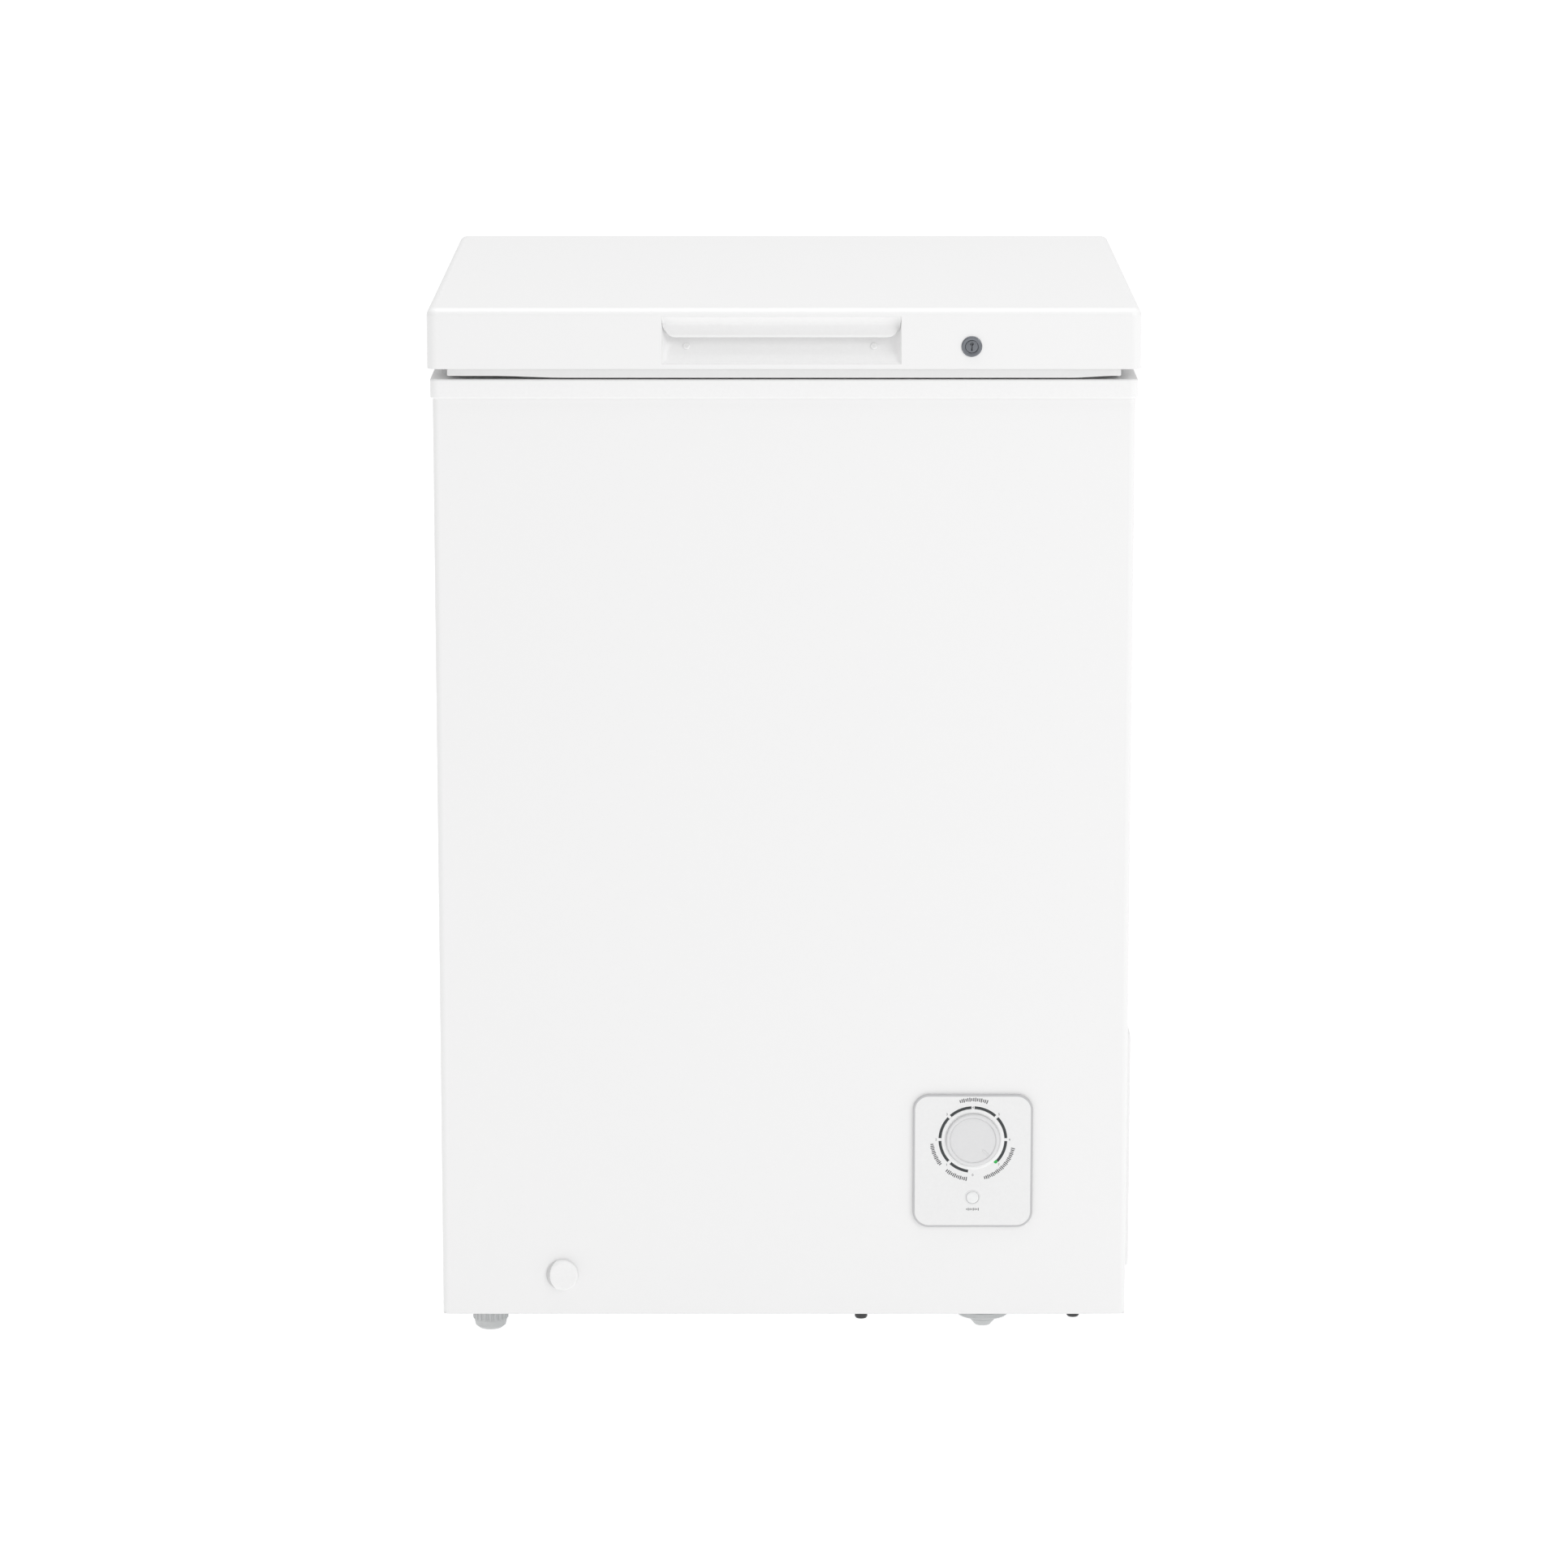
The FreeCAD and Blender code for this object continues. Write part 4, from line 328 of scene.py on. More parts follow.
# ---------------------------------------------------------------- mesh helpers
def new_piece(name, mesh, body, *materials):
    """Puts a mesh in the scene as a piece that rides on a body."""
    piece = bpy.data.objects.new(name, mesh)
    bpy.context.scene.collection.objects.link(piece)
    for material in materials:
        mesh.materials.append(material)
    smooth(mesh)
    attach(piece, body)
    return piece


def mesh_of(name, points, faces):
    mesh = bpy.data.meshes.new(name)
    mesh.from_pydata([tuple(p) for p in points], [], faces)
    made = bmesh.new()
    made.from_mesh(mesh)
    bmesh.ops.remove_doubles(made, verts=made.verts, dist=1e-7)
    bmesh.ops.recalc_face_normals(made, faces=made.faces)
    made.to_mesh(mesh)
    made.free()
    return mesh


def loft(name, loops, ends=(True, True), closed=True):
    """Skins a row of loops that have the same number of points."""
    count = len(loops[0])
    points = [p for loop in loops for p in loop]
    faces = []
    for i in range(len(loops) - 1):
        for j in range(count if closed else count - 1):
            k = (j + 1) % count
            faces.append((i * count + j, i * count + k, (i + 1) * count + k, (i + 1) * count + j))
    if ends[0]:
        faces.append(tuple(range(count))[::-1])
    if ends[1]:
        faces.append(tuple(range(len(points) - count, len(points))))
    return mesh_of(name, points, faces)


AXES = {
    "z": lambda r, a, h: Vector((r * math.cos(a), r * math.sin(a), h)),
    "-y": lambda r, a, h: Vector((r * math.cos(a), -h, r * math.sin(a))),
    "y": lambda r, a, h: Vector((r * math.cos(a), h, r * math.sin(a))),
    "x": lambda r, a, h: Vector((h, r * math.cos(a), r * math.sin(a))),
}


def ring(radius, height, axis, at, steps):
    return [at + AXES[axis](radius, 2 * math.pi * i / steps, height) for i in range(steps)]


def lathe(name, profile, axis, at, steps=96):
    """Turns a profile of (radius, height) pairs in millimetres about an axis through a point."""
    loops = [ring(max(r, 0.01) * MM, h * MM, axis, at, steps) for r, h in profile]
    return loft(name, loops)


def arc_profile(cx, cy, radius, start, end, steps=6):
    """Points on an arc, for profiles. Angles in degrees."""
    turns = [math.radians(start + (end - start) * i / steps) for i in range(steps + 1)]
    return [(cx + radius * math.cos(t), cy + radius * math.sin(t)) for t in turns]


def rounded(points, radii, steps=5, closed=False):
    """A 2-D line with its corners rounded."""
    out = []
    count = len(points)
    for i, (x, y) in enumerate(points):
        radius = radii[i] if isinstance(radii, (list, tuple)) else radii
        if radius <= 0 or (not closed and i in (0, count - 1)):
            out.append((x, y))
            continue
        here = Vector((x, y))
        back = (Vector(points[i - 1]) - here).normalized()
        ahead = (Vector(points[(i + 1) % count]) - here).normalized()
        half = back.angle(ahead) / 2
        reach = radius / math.tan(half)
        centre = here + (back + ahead).normalized() * (radius / math.sin(half))
        first, last = here + back * reach - centre, here + ahead * reach - centre
        turn = first.angle_signed(last)
        for k in range(steps + 1):
            p = centre + Matrix.Rotation(-turn * k / steps, 2) @ first
            out.append((p.x, p.y))
    return out


def rounded_rectangle(mid_x, mid_z, wide, tall, radius, per_corner=16):
    """Corner arcs of a rounded rectangle, anticlockwise from the right."""
    out = []
    radius = max(radius, 1e-5)
    corners = ((1, 1, 0), (-1, 1, 90), (-1, -1, 180), (1, -1, 270))
    for sx, sz, start in corners:
        cx, cz = mid_x + sx * (wide / 2 - radius), mid_z + sz * (tall / 2 - radius)
        out += arc_profile(cx, cz, radius, start, start + 90, per_corner)
    return out


def quarter(u, length):
    """Rises from nought at an end wall to one at a length in, like a quarter round."""
    if u >= length:
        return 1.0
    return math.sqrt(max(0.0, 1.0 - (1.0 - u / length) ** 2))


def resample(line, count):
    """The same 2-D line with evenly spread points."""
    lengths = [0.0]
    for a, b in zip(line, line[1:]):
        lengths.append(lengths[-1] + math.dist(a, b))
    out, k = [], 0
    for i in range(count):
        want = lengths[-1] * i / (count - 1)
        while k < len(line) - 2 and lengths[k + 1] < want:
            k += 1
        run = (lengths[k + 1] - lengths[k]) or 1.0
        t = (want - lengths[k]) / run
        out.append(tuple(a + (b - a) * t for a, b in zip(line[k], line[k + 1])))
    return out


def cut_below(line, height):
    """The part of a falling line that is above a height."""
    out = [line[0]]
    for a, b in zip(line, line[1:]):
        if b[1] >= height:
            out.append(b)
            continue
        t = (a[1] - height) / (a[1] - b[1]) if a[1] > b[1] else 0.0
        out.append((a[0] + (b[0] - a[0]) * t, max(height, b[1])))
        break
    return out


def thicken(mesh, depth):
    """Gives a sheet a thickness behind its faces."""
    made = bmesh.new()
    made.from_mesh(mesh)
    bmesh.ops.solidify(made, geom=made.faces[:] + made.edges[:] + made.verts[:], thickness=depth)
    made.to_mesh(mesh)
    made.free()
    return mesh


def joined(name, meshes):
    """Several meshes as one."""
    made = bmesh.new()
    for mesh in meshes:
        made.from_mesh(mesh)
        bpy.data.meshes.remove(mesh)
    whole = bpy.data.meshes.new(name)
    made.to_mesh(whole)
    made.free()
    return whole


def moved(mesh, matrix):
    copy = mesh.copy()
    copy.transform(matrix)
    return copy


def carved(name, mesh, *cutters):
    """The mesh with the cutters taken out of it."""
    base = bpy.data.objects.new(name, mesh)
    bpy.context.scene.collection.objects.link(base)
    tools = []
    for cutter in cutters:
        tool = bpy.data.objects.new(name + "_tool", cutter)
        bpy.context.scene.collection.objects.link(tool)
        tools.append(tool)
        change = base.modifiers.new("cut", "BOOLEAN")
        change.operation, change.object, change.solver = "DIFFERENCE", tool, "EXACT"
    graph = bpy.context.evaluated_depsgraph_get()
    result = bpy.data.meshes.new_from_object(base.evaluated_get(graph))
    for thing in (base, *tools):
        bpy.data.objects.remove(thing)
    result.name = name
    return result


def block(name, low, high):
    """A box between two corners, for cutting with."""
    x0, y0, z0 = low
    x1, y1, z1 = high
    loops = [[(x0, y0, z), (x1, y0, z), (x1, y1, z), (x0, y1, z)] for z in (z0, z1)]
    return loft(name, [[Vector(p) for p in loop] for loop in loops])


def rectangle_sweep(name, low, high, corner, section, per_corner=8):
    """Sweeps a closed section round a level rounded rectangle. Section points are (inset, height)."""
    mid, size = (low + high) / 2, high - low
    loops = []
    for inset, height in section:
        radius = max(corner - inset, 0.0005)
        plan = rounded_rectangle(mid.x, mid.y, size.x - 2 * inset, size.y - 2 * inset, radius, per_corner)
        loops.append([Vector((x, y, height)) for x, y in plan])
    loops.append(loops[0])
    return loft(name, loops, ends=(False, False))


# ---------------------------------------------------------------- lid handle
def handle_front(u):
    """The moulding's visible line at a distance from its end: (depth, height above the opening)."""
    tall, lip, corner = 37.5, 21.0, 10.5
    rise = 13.0 * (1.0 - quarter(u, corner))
    lip_low = lip + rise
    nose = rounded([(0.25, tall), (1.4, tall - 0.6), (8, 31), (3, 22.4), (3, lip)], [0, 1.0, 2.6, 1.2, 0])
    upper = [(0.25 + (d - 0.25) * quarter(u, 2.0), z) for d, z in resample(cut_below(nose, lip_low), 30)]
    tip_d, tip_z = upper[-1]
    under = rounded(
        [
            (tip_d, tip_z), (tip_d + 1.0, tip_z - 0.2), (11.4, 24.1 + rise * 0.8), (14.2, 21.9 + rise * 0.5),
            (2.3, 1.3), (0.45, 0.0), (0.25, -0.3),
        ],
        [0, 0.6, 1.8, 1.6, 0.7, 0, 0], 6,
    )
    lower = []
    for d, z in resample(under, 44)[1:]:
        reach = 9.0 if z > 20 else 3.0 + 6.0 * z / 20
        least = min(tip_d, 0.25) if z < 3 else 0.25
        lower.append((least + (d - least) * quarter(u, reach), z))
    return upper + lower


def build_handle():
    """Recessed grip. Its section is lofted from end to end, closely spaced where the ends curve in."""
    flange, floor_gauge = 0.3, 2.2
    left, right = handle.low.x / MM - flange, handle.high.x / MM + flange
    front, floor = lid.low.y / MM, handle.low.z / MM + floor_gauge
    edge = [0, 0.4, 0.46, 0.6, 0.85, 1.2, 1.7, 2.4, 3.2, 4.2, 5.4, 6.6, 7.8, 8.8, 9.8, 10.9, 14]
    middle = [30 + 16 * i for i in range(9)]
    far = right - left
    stations = sorted(edge + [m for m in middle if m < far - 16] + [far - e for e in edge])
    loops = []
    for along in stations:
        u = max(0.0, min(along, far - along) - 0.4)
        loops.append([Vector((left + along, front + d, floor + z)) * MM for d, z in handle_front(u)])
    sheet = loft("handle_recess", loops, closed=False, ends=(False, False))
    piece = new_piece("handle_recess", sheet, "lid", handle_plastic)
    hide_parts("handle_insert")


# ---------------------------------------------------------------- screws
def screw_mesh(head, tall, sink=0.5):
    """A pan head with a cross recess, at the origin, driven along +Z with its head at the bottom."""
    round_over = tall * 0.68
    profile = [(0, -tall)] + arc_profile(head - round_over, -tall + round_over, round_over, -90, 0, 6)
    profile += [(head, 0), (1.9, 0), (1.9, 7), (0, 7)]
    body = lathe("screw", profile, "z", Vector((0, 0, 0)), 36)
    long, half, sunk = head * 0.54 * MM, head * 0.092 * MM, tall * (sink - 1) * MM
    bars = [
        block("bar", (-long, -half, -4 * MM), (long, half, sunk)),
        block("bar", (-half, -long, -4 * MM), (half, long, sunk)),
    ]
    return carved("screw", body, *bars)


def islands(node):
    """Middle and size of each loose part of a CAD node."""
    mesh = nodes[node].data
    made = bmesh.new()
    made.from_mesh(mesh)
    bmesh.ops.remove_doubles(made, verts=made.verts, dist=1e-6)
    unseen, groups = set(made.verts), []
    while unseen:
        stack, found = [unseen.pop()], []
        while stack:
            vert = stack.pop()
            found.append(vert.co.copy())
            for link in vert.link_edges:
                other = link.other_vert(vert)
                if other in unseen:
                    unseen.remove(other)
                    stack.append(other)
        low = Vector([min(c[i] for c in found) for i in range(3)])
        high = Vector([max(c[i] for c in found) for i in range(3)])
        groups.append((low, high))
    made.free()
    return groups


def screw_places(node):
    """A placing matrix for each screw of a CAD node, and whether it is one of the small ones."""
    handle_slope, handle_depth, handle_rise = math.atan2(11.9, 20.6), 9.0, 15.2
    head_back = 2.2
    places = []
    for low, high in islands(node):
        mid, size = (low + high) / 2, high - low
        small = size.x < 6.5 * MM
        if small:
            turn = Matrix.Rotation(-math.pi / 2 - handle_slope, 4, "X")
            at = Vector((mid.x, lid.low.y + handle_depth * MM, handle.low.z + handle_rise * MM))
        elif size.x > size.y * 1.05:
            turn = Matrix.Rotation(math.radians(-90), 4, "Y")
            at = Vector((high.x - head_back * MM, mid.y, mid.z))
        else:
            turn = Matrix.Rotation(math.radians(90), 4, "X")
            at = Vector((mid.x, high.y - head_back * MM, mid.z))
        places.append((Matrix.Translation(at) @ turn, small))
    return places


def build_screws():
    """Zinc screws, and the handle's two small ones with painted heads."""
    plain, painted = (screw_mesh(3.9, 2.2), zinc), (screw_mesh(2.8, 1.4, 0.12), handle_plastic)
    rows = (
        ("cabinet_cross_screws", "cabinet_screws", "cabinet", False, plain),
        ("lid_cross_screws", "lid_screws", "lid", False, plain),
        ("handle_cross_screws", "lid_screws", "lid", True, painted),
    )
    for name, node, body, small, (one, finish) in rows:
        places = [place for place, is_small in screw_places(node) if is_small == small]
        mesh = joined(name, [moved(one, place) for place in places])
        piece = new_piece(name, mesh, body, finish)
        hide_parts(node)


# ---------------------------------------------------------------- lock
def build_lock():
    """Round lock in the lid's front: a fixed sleeve and a turning core with a keyway."""
    at = Vector((core.mid.x, lid.low.y, barrel.mid.z))
    proud = (lid.low.y - barrel.low.y) / MM
    outer = barrel.size.x / 2 / MM
    sleeve = (
        [(5.08, 7.4), (5.08, -proud + 0.75)] + arc_profile(5.68, -proud + 0.75, 0.6, 180, 270, 5)
        + [(outer - 2.2, -proud + 0.15)] + arc_profile(outer - 1.1, -proud + 1.1, 1.1, -90, 0, 8)
        + [(outer, 0), (7.2, 0), (7.2, 7.4), (5.08, 7.4)]
    )
    piece = new_piece("lock_sleeve", loft_of_ring("lock_sleeve", sleeve, "y", at), "lid", dark_lock)
    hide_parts("lock_barrel")
    face = -proud + 0.45
    profile = [(0, face)] + arc_profile(4.6, face + 0.4, 0.4, -90, 0, 4)
    profile += [(5.0, 7.0), (2.6, 7.0), (2.6, 10.0), (0, 10.0)]
    body = lathe("lock_key_core", profile, "y", at, 72)
    keyway = block("keyway", at / MM + Vector((-0.55, -3, -3.3)), at / MM + Vector((0.55, 5, 2.4)))
    eye = lathe("eye", [(0, -3), (1.45, -3), (1.45, 5), (0, 5)], "y", at + Vector((0, 0, 2.2 * MM)), 32)
    keyway.transform(Matrix.Scale(MM, 4))
    piece = new_piece("lock_key_core", carved("lock_key_core", body, keyway, eye), "lock", dark_lock)
    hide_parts("lock_plug")


def loft_of_ring(name, section, axis, at, steps=96):
    """Turns a closed section that stays off the axis."""
    loops = [ring(r * MM, h * MM, axis, at, steps) for r, h in section]
    return loft(name, loops, ends=(False, False))


# ---------------------------------------------------------------- control panel
def face_loop(y, inset, wide, tall, radius):
    """A rounded rectangle in front of the panel, at a depth and an inset from its edge."""
    plan = rounded_rectangle(panel.mid.x, panel.mid.z, wide - 2 * inset, tall - 2 * inset, radius - inset, 14)
    return [Vector((x, y, z)) for x, z in plan]


def build_panel_border():
    """Grey band that wraps over the panel's rounded edge."""
    face, wide, tall, radius = panel.low.y, panel.size.x, panel.size.z, 13 * MM
    skin = 0.12
    rows = [(-skin, 1.9), (-skin, 0.75), (0.25 - skin, 0.25 - skin), (0.75, -skin), (1.25, -skin)]
    rows += [(1.6, -skin + 0.05), (1.75, 0.25), (1.75, 0.6), (0.8, 0.6), (0.5, 1.9)]
    loops = [face_loop(face + depth * MM, inset * MM, wide, tall, radius) for inset, depth in rows]
    loops.append(loops[0])
    mesh = loft("panel_border", loops, ends=(False, False))
    piece = new_piece("panel_border", mesh, "cabinet", border_grey)


def bar(points, low, high):
    """A thin print pad from a flat outline of (x, z) in metres, between two depths."""
    loops = [[Vector((x, y, z)) for x, z in points] for y in (high, low)]
    return loft("print", loops)


def dial_arc(centre, radius, width, start, end):
    """An arc of print, anticlockwise in degrees."""
    steps = max(3, int(abs(end - start) / 2.5))
    outer = arc_profile(centre[0], centre[1], radius + width / 2, start, end, steps)
    inner = arc_profile(centre[0], centre[1], radius - width / 2, end, start, steps)
    return outer + inner


def tick_row(centre, radius, start, end, tall, wide=0.00085, pitch=0.0015):
    """Short upright ticks along an arc, with uneven lengths."""
    count = int(math.radians(abs(end - start)) * radius / pitch)
    ticks, corners = [], ((-1, -1), (1, -1), (1, 1), (-1, 1))
    for i in range(count + 1):
        angle = math.radians(start + (end - start) * i / count)
        out = Vector((math.cos(angle), math.sin(angle)))
        side = Vector((-out.y, out.x)) * (wide / 2)
        middle = Vector(centre) + out * radius
        reach = out * tall / 2 * (0.72 + 0.28 * ((i * 7) % 3) / 2)
        ticks.append([tuple(middle + a * side + b * reach) for a, b in corners])
    return ticks


def digit_mesh(digit, size, middle, y):
    """A dial number as a thin raised mesh."""
    curve = bpy.data.curves.new("digit", "FONT")
    curve.body, curve.size, curve.extrude = digit, size, 0.00003
    curve.align_x, curve.align_y = "CENTER", "CENTER"
    curve.resolution_u = 3
    text = bpy.data.objects.new("digit", curve)
    mesh = bpy.data.meshes.new_from_object(text)
    bpy.data.objects.remove(text)
    upright = Matrix.Rotation(math.pi / 2, 4, "X")
    mesh.transform(Matrix.Translation(Vector((middle[0], y, middle[1]))) @ upright)
    return mesh


def build_dial_print():
    """Arcs, numbers, index ticks and the green rest mark round the knob."""
    face = panel.low.y
    low, high = face - 0.00006, face + 0.0002
    centre = (knob.mid.x, knob.mid.z)
    radius, wide, gap = 0.0267, 0.0023, 2.6
    marks = [262, 225, 180, 135, 90, 45, 0, -45]
    arcs = []
    for start, end in zip(marks, marks[1:]):
        first = start if start == marks[0] else start - gap
        arcs.append(bar(dial_arc(centre, radius, wide, end + gap, first), low, high))
    piece = new_piece("dial_arcs", joined("dial_arcs", arcs), "cabinet", dial_ink)

    rows = []
    for start, end in ((108, 70), (187, 218), (231, 261), (-73, -13)):
        rows += tick_row(centre, 0.0334, start, end, 0.0033)
    level, half, pitch = lamp.mid.z - 0.0099, 0.0003, 0.00135
    for i in range(8):
        x = lamp.mid.x + (i - 3.5) * pitch
        reach = 0.0011 * (0.6 + 0.4 * ((i * 5) % 3) / 2)
        rows.append([(x + a * half, level + b * reach) for a, b in ((-1, -1), (1, -1), (1, 1), (-1, 1))])
    mesh = joined("dial_ticks", [bar(r, low, high) for r in rows])
    piece = new_piece("dial_ticks", mesh, "cabinet", soft_ink)

    digits = []
    for number, angle in enumerate((270, 225, 180, 135, 90, 45, 0, -45)):
        turn = math.radians(angle)
        reach = 0.0298 if angle != 90 else radius
        middle = (centre[0] + reach * math.cos(turn), centre[1] + reach * math.sin(turn))
        digits.append(digit_mesh(str(number), 0.0027, middle, face - 0.00002))
    piece = new_piece("dial_numbers", joined("dial_numbers", digits), "cabinet", soft_ink)

    turn = math.radians(-45)
    spot = (centre[0] + 0.0262 * math.cos(turn), centre[1] + 0.0262 * math.sin(turn))
    dot = bar(arc_profile(*spot, 0.0015, 0, 345, 23), low - 0.00003, high)
    piece = new_piece("dial_rest_dot", dot, "cabinet", green_ink)


def build_knob():
    """Flat disc with a thin raised rim and a rib for a pointer."""
    at = Vector((knob.mid.x, shell.low.y, knob.mid.z))
    proud = (shell.low.y - knob.low.y) / MM
    back = (shell.low.y - panel.low.y) / MM + 0.3
    radius, steps = knob.size.x / 2 / MM, 144
    profile = [(0.01, 0.60), (9, 0.61), (15, 0.63), (18.0, 0.66), (18.25, 0.70), (18.4, 0.85), (18.65, 0.85)]
    profile += [(18.8, 0.5), (18.95, 0.1)]
    profile += [(19.3, 0.0), (20.4, 0.0), (20.9, 0.10), (21.2, 0.34), (21.4, 0.7), (radius, 1.2)]
    loops = [ring(r * MM, (sunk - proud) * MM, "y", at, steps) for r, sunk in profile]
    loops.append(ring(radius * MM, -back * MM, "y", at, steps))
    loops.append(ring(0.01 * MM, -back * MM, "y", at, steps))
    turn = math.radians(-45)
    spot = (at.x + 0.0145 * math.cos(turn), at.z + 0.0145 * math.sin(turn))
    rib = bar(dial_pill(spot, turn, 0.0064, 0.0016), knob.low.y + 0.0003, knob.low.y + 0.0012)
    mesh = joined("knob_disc", [loft("knob_disc", loops), rib])
    piece = new_piece("knob_disc", mesh, "knob", knob_grey)
    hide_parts("thermostat_knob")

    seat = [(22.1, 0.6), (22.1, -0.12), (22.5, -0.3), (24.7, -0.3), (25.1, -0.12), (25.1, 0.6)]
    bezel = loft_of_ring("dial_bezel", seat, "y", Vector((knob.mid.x, panel.low.y, knob.mid.z)), 144)
    piece = new_piece("dial_bezel", bezel, "cabinet", bezel_white)


def dial_pill(middle, turn, length, wide):
    """A round-ended bar outline pointing outwards."""
    out = Vector((math.cos(turn), math.sin(turn)))
    points = []
    for sign, start in ((1, -90), (-1, 90)):
        end = Vector(middle) + out * (sign * (length - wide) / 2)
        first = start + math.degrees(turn)
        points += arc_profile(end.x, end.y, wide / 2, first, first + 180, 8)
    return points


def build_lamp():
    """Milky running-lamp window with a seating ring."""
    at = Vector((lamp.mid.x, panel.low.y, lamp.mid.z))
    r = lamp.size.x / 2 / MM
    window = [(0, -0.75)] + arc_profile(r - 1.6, 0.55, 1.25, -88, 0, 8)
    window += [(r - 0.35, 2.0), (r - 0.35, 8), (0, 8)]
    piece = new_piece("lamp_window", lathe("lamp_window", window, "y", at), "cabinet", lens_milk)
    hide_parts("lamp_lens")
    seat = [(r - 0.3, 1.4), (r - 0.3, -0.1), (r, -0.22), (r + 0.5, -0.22)]
    seat += [(r + 0.8, 0.0), (r + 0.8, 0.3), (r, 1.4)]
    piece = new_piece("lamp_seat", loft_of_ring("lamp_seat", seat, "y", at), "cabinet", seat_grey)


# ---------------------------------------------------------------- drain cap
def build_drain_cap():
    """Push-in cap: a shallow dished face, with a finger slope that tapers out round its left side; the outer
    faces of that slope get a darker grey, a painted shade.
    """
    slope_turn, slope_wide, painted_shade_turn, painted_shade_wide = 95, 3.0, 68, 2.7
    at = Vector((cap.mid.x, shell.low.y, cap.mid.z))
    outer, proud = cap.size.x / 2 / MM, (shell.low.y - cap.low.y) / MM
    profile = [(0.01, 0.35 - proud), (6.5, 0.28 - proud), (outer - 3.2, 0.06 - proud)]
    profile += [(outer - r, -proud) for r in (2.8, 2.55, 2.3, 2.05, 1.8, 1.55, 1.3)]
    profile += arc_profile(outer - 1.3, -proud + 1.3, 1.3, -75, 0, 6)
    profile += [(outer, -1.8), (8.1, -1.8), (8.1, 9), (6.1, 9), (6.1, 0), (0.01, 0)]
    steps = 120
    loops = []
    for r, depth in profile:
        loop = ring(r * MM, depth * MM, "y", at, steps)
        if depth < -1.8 and r > outer - slope_wide:
            for i in range(steps):
                away = abs(360 * i / steps - 180) / slope_turn
                slope = max(0.0, 1.0 - away ** 2) * (r - outer + slope_wide) / slope_wide
                loop[i].y += (-1.85 - depth) * slope * MM
        loops.append(loop)
    mesh = loft("drain_cap_face", loops)
    # painted shade: faces in a crescent round the cap's left side take the darker grey
    for face in mesh.polygons:
        out = face.center - at
        away = abs(math.degrees(math.atan2(out.z, -out.x))) / painted_shade_turn
        painted_shade_width = painted_shade_wide * max(0.0, 1.0 - away ** 2) * MM
        if out.y < -1.2 * MM and math.hypot(out.x, out.z) > outer * MM - painted_shade_width:
            face.material_index = 1
    piece = new_piece("drain_cap_face", mesh, "drain_cap", white_plastic, painted_shade_grey)
    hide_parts("drain_cap")


# ---------------------------------------------------------------- hinge springs
def wire_along(name, points, radius, steps=14):
    """Round wire along points that lie nearly in a plane of constant x."""
    loops = []
    for i, here in enumerate(points):
        run = (points[min(i + 1, len(points) - 1)] - points[max(i - 1, 0)]).normalized()
        across = Vector((1, 0, 0)) - run * run.x
        across.normalize()
        out = run.cross(across)
        turns = [2 * math.pi * k / steps for k in range(steps)]
        loops.append([here + (across * math.cos(a) + out * math.sin(a)) * radius for a in turns])
    return loft(name, loops)


def coil_part(middle, first, last, mean, pitch, turns):
    """Points of a coil round the hinge axis, every ten degrees."""
    points = []
    for step in range(first, last + 1):
        a = math.radians(10 * step)
        along = pitch * (step / 36 - turns / 2)
        points.append(middle + Vector((along, -mean * math.cos(a), -mean * math.sin(a))))
    return points


def build_hinge_springs():
    """Coils and lower legs stay on the cabinet; the upper legs swing with the lid.

    Each upper leg brings a part of a turn, hidden inside the coil until the lid opens.
    """
    mean, pitch, wire, turns, leg = 6.6 * MM, 2.6 * MM, 1.2 * MM, 4, 22 * MM
    rise = pitch / (2 * math.pi * mean)
    coils, legs = [], []
    for low, high in islands("hinge_springs"):
        middle = (low + high) / 2
        coil = coil_part(middle, 0, 36 * turns, mean, pitch, turns)
        lower = [coil[-1] + Vector((rise * d, 0, -d)) for d in (leg / 2, leg)]
        upper = [coil[0] + Vector((-rise * d, 0, d)) for d in (leg, leg / 2)]
        coils.append(wire_along("coil", coil + lower, wire))
        legs.append(wire_along("leg", upper + coil_part(middle, 0, 8, mean, pitch, turns), wire * 0.985))
    piece = new_piece("hinge_spring_coils", joined("hinge_spring_coils", coils), "cabinet", spring_steel)
    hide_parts("hinge_springs")
    piece = new_piece("hinge_spring_lid_legs", joined("hinge_spring_lid_legs", legs), "lid", spring_steel)


# ---------------------------------------------------------------- lid seal
def build_gasket():
    """Bellows seal: a magnet bead below, a fold, and the foot that is held by the lid. The bead is coloured
    near black, a painted shade for the shadow line under the lid.
    """
    low, high = gasket.low, gasket.high
    z0, tall = low.z / MM, (high.z - low.z) / MM
    bead = rounded([(0.6, 0), (9.4, 0), (9.4, 3.3), (0.6, 3.3)], 1.1, 4, closed=True)
    folds = rounded(
        [
            (0.0, 3.6), (4.2, 3.0), (9.0, 3.6), (8.2, 5.0), (13.6, 6.6), (13.9, tall - 0.2),
            (0.4, tall - 0.2), (0.1, 7.0), (3.2, 5.2),
        ],
        0.7, 4, closed=True,
    )
    for name, section, material in (("painted_shade_bead", bead, painted_shade_bead), ("seal_bellows", folds, gasket_vinyl)):
        line = [(inset * MM, (z0 + height) * MM) for inset, height in section]
        mesh = rectangle_sweep(name, low, high, 7 * MM, line)
        piece = new_piece(name, mesh, "lid", material)
        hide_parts("lid_gasket")


